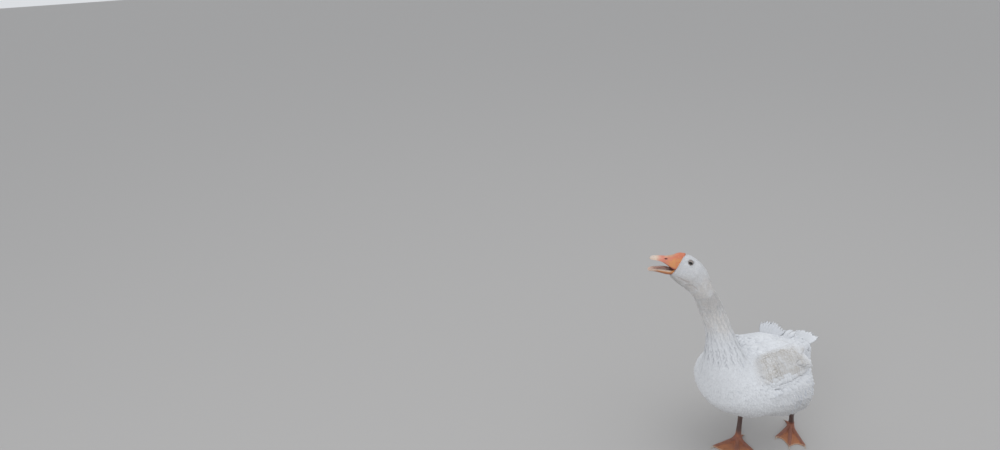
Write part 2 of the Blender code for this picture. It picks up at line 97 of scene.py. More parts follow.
class Value:
    """A number socket that takes part in Python expressions."""

    __add__ = __radd__ = maths("ADD")
    __mul__ = __rmul__ = maths("MULTIPLY")
    __sub__, __rsub__ = maths("SUBTRACT"), maths("SUBTRACT", swapped=True)
    __rtruediv__ = maths("DIVIDE", swapped=True)
    least, most = maths("MINIMUM"), maths("MAXIMUM")
    sine, size = maths("SINE"), maths("ABSOLUTE")

    def __init__(self, graph, socket):
        self.graph, self.socket = graph, socket

    def ramp(self, low, high):
        """0 below low, 1 above high, and smooth between them. High may be under low."""
        made = self.graph.node("ShaderNodeMapRange", {"interpolation_type": "SMOOTHSTEP"},
                               {"Value": self, "From Min": low, "From Max": high})
        return Value(self.graph, made.outputs["Result"])


class Graph:
    """A node tree under construction: `node` adds any node, and sets or links its inputs."""

    def node(self, kind, settings=None, values=None):
        made = self.tree.nodes.new(kind)
        for key, setting in (settings or {}).items():
            setattr(made, key, setting)
        for key, value in (values or {}).items():
            value = value.socket if isinstance(value, Value) else value
            if isinstance(value, bpy.types.NodeSocket):
                self.tree.links.new(value, made.inputs[key])
            else:
                made.inputs[key].default_value = value
        return made

    def vector(self, operation, *inputs):
        made = self.node("ShaderNodeVectorMath", {"operation": operation}, dict(enumerate(inputs)))
        return made.outputs[1 if operation == "LENGTH" else 0]


# %% A material from short calls
def colour(value):
    """A colour as a Mix node's socket wants it."""
    return (*value, 1.0) if isinstance(value, tuple) and len(value) == 3 else value


class Finish(Graph):
    """A material under construction. Its tint is built up in layers, from the ground colour up."""

    def __init__(self, name, roughness, **constants):
        self.material = bpy.data.materials.new(name)
        self.material.use_nodes = True
        self.tree = self.material.node_tree
        self.shader = self.tree.nodes["Principled BSDF"]
        self.shader.inputs["Roughness"].default_value = roughness
        for socket, value in constants.items():
            self.shader.inputs[socket.replace("_", " ")].default_value = value

    def place(self):
        return self.node("ShaderNodeTexCoord").outputs["Object"]

    def number(self, name):
        """The number that the mesh keeps under this name."""
        stored = self.node("ShaderNodeAttribute", {"attribute_name": name})
        return Value(self, stored.outputs["Fac"])

    def parts(self, vector):
        made = self.node("ShaderNodeSeparateXYZ", None, {0: vector})
        return [Value(self, socket) for socket in made.outputs]

    def noise(self, vector, scale, detail):
        made = self.node("ShaderNodeTexNoise", None,
                         {"Vector": vector, "Scale": scale, "Detail": detail})
        return Value(self, made.outputs["Fac"])

    def streaks(self, scales, detail):
        """Noise with a scale of its own along each axis."""
        made = self.node("ShaderNodeMapping", None, {"Vector": self.place(), "Scale": scales})
        return self.noise(made.outputs["Vector"], 1.0, detail)

    def blob(self, vector, centre, radii, soft):
        """1 inside an ellipsoid, 0 outside it, soft at its surface."""
        moved = self.vector("SUBTRACT", vector, centre)
        away = Value(self, self.vector("LENGTH", self.vector("DIVIDE", moved, radii)))
        return away.ramp(1 + soft, 1 - soft)

    def mix(self, factor, first, second):
        made = self.node("ShaderNodeMix", {"data_type": "RGBA"},
                         {0: factor, 6: colour(first), 7: colour(second)})
        return made.outputs[2]

    def ground(self, factor, first, second):
        self.tint = self.mix(factor, first, second)

    def cover(self, factor, tint):
        """Lays a tint over the colour so far, as strongly as the factor says."""
        self.tint = self.mix(factor, self.tint, tint)

    def bump(self, height, distance):
        made = self.node("ShaderNodeBump", None,
                         {"Height": height, "Distance": distance, "Strength": 1.0})
        self.tree.links.new(made.outputs[0], self.shader.inputs["Normal"])

    def done(self, roughness=None):
        """Links the tint, and the roughness where it varies, and gives back the material."""
        self.tree.links.new(self.tint, self.shader.inputs["Base Color"])
        if roughness is not None:
            self.tree.links.new(roughness.socket, self.shader.inputs["Roughness"])
        print("finish", self.material.name, "has", len(self.tree.nodes), "nodes")
        return self.material


# %% [markdown]
# ## Camera, floor and light
# The camera stands a little above the goose and looks down on it. The light is that of an overcast
# day: a wide bright sky above and a paler one all round, so that white feathers keep soft shadows.

# %% Camera, floor and light
CAMERA_PLACE = (1.1654, -1.3160, 1.5)
CAMERA_AHEAD = (-0.8910, 0.4540)         # the way it looks, seen from above
CAMERA_DOWN = math.radians(26)
CAMERA_LENS, CAMERA_SENSOR = 27.04, 36.0
FLOOR_REACH, FLOOR_COLOUR = 9, (0.46, 0.45, 0.44, 1)
SKY_COLOUR, SKY_STRENGTH = (0.94, 0.965, 1.0, 1), 0.76
LAMPS = {                                # place, aim, breadth, power
    "sky": ((0.3, 0.3, 3.6), (0, 0, 0.3), 3.4, 22),
    "front": ((1.5, -3.0, 2.4), (0, 0, 0.35), 2.4, 26),
}
scene = bpy.context.scene
scene.view_settings.view_transform = "Standard"


def linked(name, data):
    """A new object in the scene."""
    made = bpy.data.objects.new(name, data)
    scene.collection.objects.link(made)
    return made


def aimed(thing, spot, way):
    """Puts a lamp or a camera at a spot, looking a way."""
    thing.location = spot
    thing.rotation_euler = Vector(way).to_track_quat("-Z", "Y").to_euler()
    return thing


lens = bpy.data.cameras.new("camera")
lens.lens, lens.sensor_width, lens.clip_start = CAMERA_LENS, CAMERA_SENSOR, 0.01
ahead = Vector((*CAMERA_AHEAD, 0)).normalized() * math.cos(CAMERA_DOWN)
downward = Vector((0, 0, math.sin(CAMERA_DOWN)))
scene.camera = aimed(linked("camera", lens), CAMERA_PLACE, ahead - downward)
plane = bpy.data.meshes.new("floor")
corners = ((-1, -1), (1, -1), (1, 1), (-1, 1))
plane.from_pydata([(x * FLOOR_REACH, y * FLOOR_REACH, 0) for x, y in corners], [], [(0, 1, 2, 3)])
plane.materials.append(Finish("floor", 0.9, Base_Color=FLOOR_COLOUR).material)
linked("floor", plane)
for name, (spot, aim, breadth, power) in LAMPS.items():
    lamp = bpy.data.lights.new(name, "AREA")
    lamp.shape, lamp.size, lamp.energy = "DISK", breadth, power
    aimed(linked(name, lamp), spot, Vector(aim) - Vector(spot))
scene.world = bpy.data.worlds.new("overcast")
scene.world.use_nodes = True
overcast = scene.world.node_tree.nodes["Background"].inputs
overcast["Color"].default_value, overcast["Strength"].default_value = SKY_COLOUR, SKY_STRENGTH
print("camera at", tuple(scene.camera.location))

# %% [markdown]
# ## The course of the body
# Feathers lie from the bill towards the tail, and turn down over the flanks and thighs. To know
# that direction anywhere, the body's middle line is written down once, from bill to tail. Each
# point of the skin then looks up the nearest place on that line.

# %% The middle line, and smooth masks
COURSE = {                     # from bill to tail: place, depth of the coat, length of a feather
    "bill_edge": ((-0.081, -0.193, 0.605), 0.0005, 0.0028),
    "brow": ((-0.073, -0.182, 0.600), 0.0006, 0.0032),
    "crown": ((-0.066, -0.163, 0.589), 0.0007, 0.0036),
    "nape": ((-0.057, -0.144, 0.573), 0.0009, 0.0044),
    "throat": ((-0.048, -0.126, 0.548), 0.0012, 0.0055),
    "neck_high": ((-0.040, -0.099, 0.470), 0.0018, 0.0080),
    "neck_mid": ((-0.022, -0.077, 0.402), 0.0023, 0.0100),
    "neck_low": ((-0.010, -0.069, 0.350), 0.0028, 0.0120),
    "collar": ((-0.003, -0.065, 0.309), 0.0034, 0.0150),
    "crop": ((-0.001, -0.052, 0.277), 0.0038, 0.0180),
    "breast": ((0.000, -0.020, 0.255), 0.0040, 0.0200),
    "keel": ((0.000, 0.032, 0.245), 0.0040, 0.0220),
    "belly": ((0.000, 0.092, 0.243), 0.0040, 0.0240),
    "paunch": ((0.000, 0.154, 0.255), 0.0038, 0.0250),
    "rump": ((0.000, 0.196, 0.272), 0.0036, 0.0240),
    "tail_root": ((0.000, 0.230, 0.287), 0.0034, 0.0220),
}
course_names = list(COURSE)
columns = zip(*COURSE.values())
course_points, course_depths, course_lengths = (np.array(column) for column in columns)


def ramp(values, low, high):
    """0 at low, 1 at high, smooth between."""
    share = np.clip((np.asarray(values, float) - low) / (high - low), 0, 1)
    return share * share * (3 - 2 * share)


def blend(first, second, share):
    return first * (1 - share) + second * share


def to_segment(points, first, last):
    """For each point, the share of the way along a segment to its nearest spot, and how far off."""
    first, span = np.array(first), np.subtract(last, first)
    share = np.clip((points - first) @ span / (span @ span), 0, 1)
    return share, np.linalg.norm(points - first - share[:, None] * span, axis=1)


def along_course(points):
    """Each point's place on the middle line, counted in named points, and the line's way there."""
    best, place = np.full(len(points), np.inf), np.zeros(len(points))
    way = np.zeros((len(points), 3))
    for i, (first, last) in enumerate(zip(course_points, course_points[1:])):
        share, away = to_segment(points, first, last)
        nearer = away < best
        best[nearer], place[nearer] = away[nearer], i + share[nearer]
        way[nearer] = (last - first) / np.linalg.norm(last - first)
    return place, way


def where(name):
    return course_names.index(name)


def on_course(column, place):
    """The middle line's values at any place on it."""
    return np.interp(place, np.arange(len(column)), column)


print("the middle line has", len(course_names), "named points")

# %% The head's own frame
HEAD_TURN, HEAD_LIFT, HEAD_ROLL = -28, 9, 8      # degrees
BETWEEN_EYES = Vector((0, -0.002, 0.0027))       # midway between the eyeballs, in the head's frame


def turn_by(degrees, axis, size=3):
    return Matrix.Rotation(math.radians(degrees), size, axis)


eye_middles = {side: sum(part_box(f"eye_{side}"), Vector()) / 2 for side in ("left", "right")}
head_turn = turn_by(HEAD_TURN, "Z") @ turn_by(-HEAD_LIFT, "X") @ turn_by(-HEAD_ROLL, "Y")
head_place = sum(eye_middles.values(), Vector()) / 2 - head_turn @ BETWEEN_EYES
head_frame = Matrix.Translation(head_place) @ head_turn.to_4x4()


def in_head(points):
    """Points in the head's own frame: origin midway between the eyes, bill along -Y."""
    return (np.asarray(points) - np.array(head_place)) @ np.array(head_turn)


print("head at", tuple(round(v, 4) for v in head_place))

# %% [markdown]
# ## One skin
# The flesh comes in many solids with thin gaps. Copies of them are puffed up a little, joined, and
# remeshed in small voxels, which melts them into one surface. Smoothing removes the facets. Then
# the surface is drawn in by the depth of the coat, so that the feathers fill the solids' outline.

# %% Copies of solids, and a remeshed union
def mesh_of(work, name):
    """A new mesh from a bmesh, which is then freed."""
    mesh = bpy.data.meshes.new(name)
    work.to_mesh(mesh)
    work.free()
    return mesh


def merged_copy(name):
    """A copy of a CAD node's mesh with its loose triangles joined."""
    work = bmesh.new()
    work.from_mesh(nodes[name].data)
    bmesh.ops.remove_doubles(work, verts=work.verts, dist=1e-5)
    bmesh.ops.recalc_face_normals(work, faces=work.faces)
    return mesh_of(work, name + "_copy")


def read(items, field, width, kind=float):
    """One field of a mesh's points or edges as an array."""
    values = np.empty(len(items) * width, kind)
    items.foreach_get(field, values)
    return values.reshape(-1, width)


def as_arrays(mesh):
    return read(mesh.vertices, "co", 3), read(mesh.vertices, "normal", 3)


def moved(mesh, points):
    """Moves a mesh's points, and gives them back with their new normals."""
    mesh.vertices.foreach_set("co", points.ravel())
    mesh.update()
    return as_arrays(mesh)


def neighbour_mean(values, edges):
    total = np.zeros(values.shape)
    for first, last in (edges.T, edges.T[::-1]):
        for axis in range(values.shape[1]):
            total[:, axis] += np.bincount(first, values[last, axis], len(values))
    return total / np.maximum(np.bincount(edges.ravel(), minlength=len(values)), 1)[:, None]


def smoothed(points, edges, pull):
    return points + (neighbour_mean(points, edges) - points) * pull


def bake_down(thing):
    """Replaces an object's mesh by its modified one and removes the modifiers."""
    graph = bpy.context.evaluated_depsgraph_get()
    mesh = bpy.data.meshes.new_from_object(thing.evaluated_get(graph))
    thing.modifiers.clear()
    mesh.name = thing.name
    thing.data = mesh
    return thing


def union_of(names, name, puff, voxel, more):
    """One object: copies of these nodes, puffed up, joined with one more mesh and remeshed."""
    work = bmesh.new()
    work.from_mesh(more)
    for node in names:
        mesh = merged_copy(node)
        points, normals = as_arrays(mesh)
        moved(mesh, points + normals * puff)
        work.from_mesh(mesh)
    made = linked(name, mesh_of(work, name))
    remesh = made.modifiers.new("remesh", "REMESH")
    remesh.mode, remesh.voxel_size, remesh.use_smooth_shade = "VOXEL", voxel, True
    return bake_down(made)


# %% The skin
VOXEL, PUFF = 0.0026, 0.0008
BODY_NODES = ["trunk", "neck_lower", "neck_upper", "head", "wing_left", "wing_right",
              "thigh_left", "thigh_right"]
FAN_ROOT, FAN_SWING, FAN_LENGTH = (0.058, 0.0992, 0.322), 10, 0.064
FAN_SINK = (0.012, 0.005)                # how far the fan's root and its tips are sunk
FAN_FILL = (-0.012, -0.006, -0.026)      # where the wing is filled up to, from the fan
NODE_NEAR, NODE_FAR = 0.0012, 0.0024     # on a node's surface, and off it
MELT = ((0.55, 0.75), (-0.42, 0.75)) * 7 + ((0.5, 0.6),) * 4    # pull, and sparing of the head


def sunk_fan():
    """The left inner fan's hull, its root sunk into the wing and the room under it filled."""
    points, _ = as_arrays(merged_copy("tertials_left"))
    way = (math.sin(math.radians(FAN_SWING)), math.cos(math.radians(FAN_SWING)), 0)
    share = np.clip((points - FAN_ROOT) @ way / FAN_LENGTH, 0, 1)
    points[:, 2] -= FAN_SINK[0] + (FAN_SINK[1] - FAN_SINK[0]) * share
    work = bmesh.new()
    for spot in np.vstack([points, points + FAN_FILL]):
        work.verts.new(spot)
    hull = bmesh.ops.convex_hull(work, input=work.verts)
    bmesh.ops.delete(work, geom=hull["geom_interior"], context="VERTS")
    return mesh_of(work, "sunk_fan")


def tree_of(mesh):
    """A search tree of a mesh's faces."""
    return BVHTree.FromPolygons([v.co for v in mesh.vertices], [p.vertices for p in mesh.polygons])


def share_of(node, points):
    """1 where the points lie on a node's surface, 0 further off."""
    tree = tree_of(merged_copy(node))
    found = [tree.find_nearest(Vector(point), NODE_FAR * 2)[3] for point in points]
    return ramp([NODE_FAR if away is None else away for away in found], NODE_FAR, NODE_NEAR)


skin = union_of(BODY_NODES, "skin", PUFF, VOXEL, sunk_fan())
points, normals = as_arrays(skin.data)
edges = read(skin.data.edges, "vertices", 2, np.int64)
place, way = along_course(points)
wing_share, thigh_share = (
    np.maximum(share_of(f"{part}_left", points), share_of(f"{part}_right", points))
    for part in ("wing", "thigh"))
head_share = ramp(place, where("throat") + 0.3, where("nape"))
for pull, spared in MELT:
    points = smoothed(points, edges, pull * (1 - spared * head_share)[:, None])
points, normals = moved(skin.data, points)
print("skin:", len(points), "points")

# %% [markdown]
# ## Modelling the skin
# The remeshed surface is plain. On the real head the cheek swells under the eye, the lores in front
# of the eye sink in, a brow shades the eye, and a crease runs from the corner of the mouth back to
# the throat. These are added as soft pushes along the normal, each with a centre and a width.

# %% Cheeks, brows, creases and the coat's depth
CREASE_DEPTH = 0.0008
EYE_CLEAR = 0.0090                       # round here, the coat ends at the eye
THIGH_DEPTH = 0.0024
SOFT_PASSES = 6                          # rounds that soften the edges of wings and thighs
CREASES = (                              # folds of the cheek, from the side, with painted shade along them: width, two ends
    (0.0016, (0, -0.030, -0.0365), (0, -0.0106, -0.0416)),
    (0.0014, (0, -0.0106, -0.0416), (0, 0.0007, -0.0430)),
    (0.0012, (0, -0.0047, -0.0528), (0, 0.0104, -0.0501)),
    (0.0012, (0, 0.0104, -0.0501), (0, 0.0243, -0.0566)),
)
BODY_FORMS = (                           # height, width, two ends
    (0.0060, 0.026, (0.100, 0.085, 0.178), (0.098, 0.140, 0.170)),     # fuller lower flank
    (-0.0070, 0.036, (0.060, -0.050, 0.176), (0.100, -0.005, 0.190)),  # lower breast
    (-0.0045, 0.020, (0.032, 0.218, 0.286), (0.030, 0.216, 0.284)),    # hollow under the tail
    (0.0040, 0.011, (0.120, 0.000, 0.274), (0.113, 0.125, 0.264)),     # slope below the wing
)
HEAD_FORMS = (                           # height, width, two ends, in the head's frame
    (0.0016, 0.0100, (0.022, 0.002, -0.016), (0.024, 0.016, -0.020)),      # cheek
    (-0.0012, 0.0050, (0.021, -0.017, 0.000), (0.021, -0.013, 0.002)),     # hollow before the eye
    (0.0012, 0.0040, (0.021, -0.009, 0.0125), (0.022, 0.005, 0.0130)),     # brow
    (0.0012, 0.0055, (0.0105, -0.012, -0.044), (0.010, 0.010, -0.058)),    # lower jaw
    (-0.0008, 0.0040, (0.000, -0.012, -0.046), (0.000, 0.015, -0.066)),    # groove of the chin
)


def near_line(points, first, last, width):
    """1 on the segment between two points, falling off over a width."""
    return np.exp(-(to_segment(points, first, last)[1] / width) ** 2)


def from_eyes(points):
    """Each point's distance from the middle of the nearer eye."""
    return np.min([np.linalg.norm(points - np.array(middle), axis=1)
                   for middle in eye_middles.values()], axis=0)


place, way = along_course(points)
spots = in_head(points)
from_side = spots * (0, 1, 1)
on_side = ramp(np.abs(spots[:, 0]), 0.004, 0.010)
push, crease = np.zeros(len(points)), np.zeros(len(points))
for width, *ends in CREASES:
    crease = np.maximum(crease, near_line(from_side, *ends, width) * on_side)
    push -= CREASE_DEPTH * near_line(from_side, *ends, 1.6 * width) * on_side
for height, width, *ends in BODY_FORMS:
    push += height * near_line(points, *ends, width)
for height, width, *ends in HEAD_FORMS:
    for sign in (1, -1) if ends[0][0] else (1,):
        push += height * near_line(spots, *(np.array(ends) * (sign, 1, 1)), width)
thigh_share = thigh_share * ramp(points[:, 2], 0.17, 0.14)
for step in range(SOFT_PASSES):
    wing_share, thigh_share = neighbour_mean(np.stack([wing_share, thigh_share], axis=1), edges).T
depth = blend(on_course(course_depths, place), THIGH_DEPTH, thigh_share)
depth *= ramp(from_eyes(points), EYE_CLEAR * 0.8, EYE_CLEAR * 1.6)
points, normals = moved(skin.data, points + normals * (push - depth - PUFF)[:, None])
print("coat depth from", round(depth.min(), 4), "to", round(depth.max(), 4), "m")

# %% [markdown]
# ## The lie of the coat
# On every point of the skin a vector says which way its feather lies, and numbers say how long and
# how broad it is and how far it stands out. They are stored as attributes of the mesh, where
# Geometry Nodes can read them. On the neck, the feathers lean together in rows, which gives a goose
# its furrows, so the skin gets shallow ridges there and the feathers turn towards them.

# %% Furrows of the neck
FURROWS = 17                             # ridges round the neck
FURROW_DEPTH = 0.0005
FURROW_LEAN = 0.35                       # how far feathers turn towards a ridge


def dot(first, second):
    return np.einsum("ij,ij->i", first, second)


place, way = along_course(points)
on_line = np.stack([on_course(column, place) for column in course_points.T], axis=1)
across = np.cross(way, (1.0, 0.25, 0.0))
across /= np.linalg.norm(across, axis=1)[:, None]
beside, out, height = np.cross(way, across), points - on_line, points[:, 2]
angle = np.arctan2(dot(out, beside), dot(out, across))
wander = 0.35 * np.sin(height * 60 + 3 * angle) + 0.25 * np.sin(height * 130 - 2 * angle)
phase = angle * FURROWS + wander * 1.6 + (place - where("neck_mid")) * 0.9
neck_share = ramp(place, where("collar") + 0.2, where("neck_low") - 0.2)
neck_share *= ramp(place, where("throat") - 0.7, where("neck_high") - 0.2)
ridges = FURROW_DEPTH * neck_share * np.cos(phase)
points, normals = moved(skin.data, points + normals * ridges[:, None])
print("furrows:", FURROWS, "ridges of", round(ridges.max() * 1000, 2), "mm")

# %% Lie, length, breadth and lift of the feathers
DOWN = (0, 0, -1.0)
DROOP, THIGH_DROOP, RUMP_DROOP = 1.3, 1.8, 0.25  # how far feathers turn down
CALM_PASSES = 140                        # rounds that make neighbours agree, off the neck
WING_LENGTHS, THIGH_LENGTH, TOP_LENGTH = (0.0150, 0.0070), 0.0130, 0.0270
LIFT_SHARE, FACE_LIFT = 0.62, 10.5       # lift from the coat's depth, and least degrees on the face


def laid(vectors):
    """Vectors laid along the skin, one long."""
    vectors = vectors - normals * dot(vectors, normals)[:, None]
    return vectors / np.maximum(np.linalg.norm(vectors, axis=1), 1e-9)[:, None]


height = points[:, 2]
rear = ramp(place, where("breast"), where("belly"))
flank = rear * ramp(height, 0.275, 0.225) * (1 - 0.3 * wing_share)
droop = ramp(place, where("collar"), where("keel")) * ramp(height, 0.305, 0.205)
droop = droop * (1 - 0.5 * wing_share)
lie = way + np.outer(DROOP * droop + THIGH_DROOP * thigh_share, DOWN)
lie += np.outer(RUMP_DROOP * rear * ramp(height, 0.27, 0.31), DOWN)
lie += np.cross(way, normals) * (FURROW_LEAN * neck_share * np.sin(phase))[:, None]
lie = calm = laid(lie)
for step in range(CALM_PASSES):
    calm = laid(neighbour_mean(calm, edges))
lie = laid(blend(calm, lie, neck_share[:, None]))

depth = on_course(course_depths, place)
length = on_course(course_lengths, place)
on_wing = WING_LENGTHS[0] + WING_LENGTHS[1] * ramp(points[:, 1], 0.0, 0.15)
length = blend(length, on_wing, wing_share)
length = blend(length, THIGH_LENGTH, thigh_share)
length = blend(length, TOP_LENGTH, ramp(height, 0.300, 0.325) * rear)
broad = 0.46 + 0.22 * ramp(place, where("neck_low"), where("crop"))
broad = broad - 0.34 * flank * (1 - wing_share)
lift = np.degrees(np.arcsin(np.clip(LIFT_SHARE * depth / length, 0, 0.5)))
lift = np.maximum(lift, FACE_LIFT * ramp(place, where("throat") + 0.6, where("nape")))
print("feathers from", round(length.min() * 1000, 1), "to", round(length.max() * 1000, 1), "mm")

# %% Kinds of feathers, stored on the skin with the rest
KINDS = {"bare": 0, "face": 1, "head": 2, "neck": 3, "collar": 4, "breast": 5, "belly": 6,
         "back": 7, "wing": 8, "thigh": 9}
EYE_BARE = 0.0062


def store(mesh, name, kind, domain, values):
    made = mesh.attributes.new(name, kind, domain)
    field = "vector" if kind in ("FLOAT_VECTOR", "FLOAT2") else "value"
    made.data.foreach_set(field, np.asarray(values).ravel())


def store_numbers(mesh, **fields):
    for name, values in fields.items():
        store(mesh, name, "FLOAT", "POINT", values)


faces = np.array([len(p.vertices) for p in skin.data.polygons])
corners = read(skin.data.loops, "vertex_index", 1, np.int64).ravel()
first_corner = np.concatenate([[0], np.cumsum(faces)[:-1]])


def on_faces(values):
    return np.add.reduceat(values[corners], first_corner) / faces


face_place = on_faces(place)
kind = np.full(len(faces), KINDS["belly"])
for name, chosen in {
    "breast": face_place < where("breast"),
    "back": (on_faces(normals[:, 2]) > 0.35) & (face_place > where("crop")),
    "collar": face_place < where("collar") + 0.3,
    "neck": face_place < where("neck_low") - 0.5,
    "head": face_place < where("throat") + 0.15,
    "face": face_place < where("crown") + 0.1,
    "wing": on_faces(wing_share) > 0.5,
    "thigh": on_faces(thigh_share) > 0.5,
    "bare": on_faces(from_eyes(points)) < EYE_BARE,
}.items():
    kind[chosen] = KINDS[name]
store(skin.data, "lie", "FLOAT_VECTOR", "POINT", lie)
store(skin.data, "root", "FLOAT_VECTOR", "POINT", points)
store_numbers(skin.data, length=length, broad=broad, lift=np.radians(lift),
              furrow=0.5 - 0.5 * np.cos(phase) * neck_share, tone=np.full(len(points), 0.5),
              crease=crease)
store(skin.data, "kind", "INT", "FACE", kind)
print("faces of each kind:", {name: int((kind == number).sum()) for name, number in KINDS.items()})

# %% Unwrap the skin
bpy.context.view_layer.objects.active = skin
skin.select_set(True)
bpy.ops.object.mode_set(mode="EDIT")
bpy.ops.mesh.select_all(action="SELECT")
bpy.ops.uv.smart_project(angle_limit=math.radians(66), island_margin=0.004)
bpy.ops.object.mode_set(mode="OBJECT")
skin.select_set(False)
skin_map = skin.data.uv_layers[0]
skin_map.name = "OFBake"
print("unwrapped", len(skin_map.data), "corners")

# %% [markdown]
# ## One feather
# A contour feather is a thin blade, round at the tip, cupped across and arched along its length. A
# few dozen triangles are enough, because there are thousands. It is a closed lens: an upper and a
# lower sheet that share their rim. Length and width are 1 here and come from the skin later.

# %% The small feathers, in three cuts each
def triangles(mesh):
    return sum(len(p.vertices) - 2 for p in mesh.polygons)


def blade(name, rows, columns, waist, arch, thick, seed, camber=0.10, ragged=0.05):
    """A closed feather along +Y, from 0 to 1, with its own UV map called vane."""
    chance = np.random.default_rng(seed)
    steps = np.linspace(0, 1, rows + 1) ** 0.8
    half = []
    for step in steps:
        grow = 0.30 + 0.70 * min(1, step / waist) ** 0.8
        tip = math.sqrt(max(0.0, 1 - (max(0.0, step - waist) / (1.03 - waist)) ** 2.6))
        half.append(0.5 * grow * tip)
    verts, uvs, upper, lower = [], [], {}, {}
    for i, step in enumerate(steps):
        for j in range(columns + 1):
            side = 2 * j / columns - 1
            x = side * half[i] * (1 + ragged * chance.uniform(-1, 1))
            split = ragged * 0.5 * chance.uniform(-1, 1) * (i == rows)
            y = step - 0.07 * side * side * step + split
            cupped = camber * (1 - side * side) * min(1, 3 * step)
            rise = cupped + arch * math.sin(math.pi * step * 0.86)
            rim = i in (0, rows) or j in (0, columns)
            body = 0 if rim else thick * (1 - side * side)
            upper[i, j] = lower[i, j] = len(verts)
            verts.append((x, y, rise + body))
            uvs.append((0.5 + 0.5 * side, step))
            if not rim:
                lower[i, j] = len(verts)
                verts.append((x, y, rise - body))
                uvs.append(uvs[-1])
    polygons = []
    for i in range(rows):
        for j in range(columns):
            quad = [(i, j), (i, j + 1), (i + 1, j + 1), (i + 1, j)]
            polygons.append([upper[q] for q in quad])
            polygons.append([lower[q] for q in reversed(quad)])
    mesh = bpy.data.meshes.new(name)
    mesh.from_pydata(verts, [], polygons)
    layer = mesh.uv_layers.new(name="vane")
    for loop in mesh.loops:
        layer.data[loop.index].uv = uvs[loop.vertex_index]
    mesh.shade_smooth()
    rims = {i for i in upper.values() if i in lower.values()}
    for edge in mesh.edges:
        edge.use_edge_sharp = edge.vertices[0] in rims and edge.vertices[1] in rims
    return bpy.data.objects.new(name, mesh)


def blades(name, *shape):
    """A collection of three cuts of one feather, for the scatter to pick from."""
    made = bpy.data.collections.new(name)
    for cut in range(3):
        made.objects.link(blade(f"{name}_{cut}", *shape, seed=cut + 11))
    return made


fine_blades = blades("fine_feather", 3, 2, 0.55, 0.05, 0.020)
body_blades = blades("body_feather", 4, 4, 0.60, 0.06, 0.012)

# %% [markdown]
# ## Growing the feathers
# One Geometry Nodes tree serves every region. It strews points over the faces of one kind, no two
# nearer than a spacing, turns each point to the skin's normal and the feather's lie, tips it up by
# its lift, and sets a feather there in the right size. The instances are then made real, and each
# keeps the place of its root, for its markings, and a small patch of the skin's UV map.

# %% A geometry tree from short calls
class Tree(Graph):
    """A geometry tree under construction, with named inputs."""

    def __init__(self, name, inputs):
        self.tree = bpy.data.node_groups.new(name, "GeometryNodeTree")
        face = self.tree.interface
        face.new_socket("Geometry", in_out="INPUT", socket_type="NodeSocketGeometry")
        for label, kind in inputs.items():
            face.new_socket(label, in_out="INPUT", socket_type="NodeSocket" + kind)
        face.new_socket("Geometry", in_out="OUTPUT", socket_type="NodeSocketGeometry")
        self.given = self.node("NodeGroupInput").outputs

    def named(self, name, kind="FLOAT_VECTOR"):
        found = self.node("GeometryNodeInputNamedAttribute", {"data_type": kind}, {"Name": name})
        return found.outputs["Attribute"]

    def number(self, name):
        return Value(self, self.named(name, "FLOAT"))

    def chance(self, low, high, seed):
        made = self.node("FunctionNodeRandomValue", {"data_type": "FLOAT"},
                         {2: low, 3: high, "Seed": seed})
        return Value(self, made.outputs[1])

    def triple(self, *numbers):
        return self.node("ShaderNodeCombineXYZ", None, dict(enumerate(numbers))).outputs[0]

    def keep(self, geometry, name, value, kind="FLOAT_VECTOR", domain="POINT"):
        made = self.node("GeometryNodeStoreNamedAttribute", {"data_type": kind, "domain": domain},
                         {"Geometry": geometry, "Name": name, "Value": value})
        return made.outputs["Geometry"]

    def drop(self, geometry, *names):
        for name in names:
            made = self.node("GeometryNodeRemoveAttribute", None, {0: geometry, "Name": name})
            geometry = made.outputs[0]
        return geometry


# %% The scatter
PATCH = 0.003                            # how wide a feather's patch is on the skin's UV map
CROWDING = 5.0                           # points tried for each one that finds room


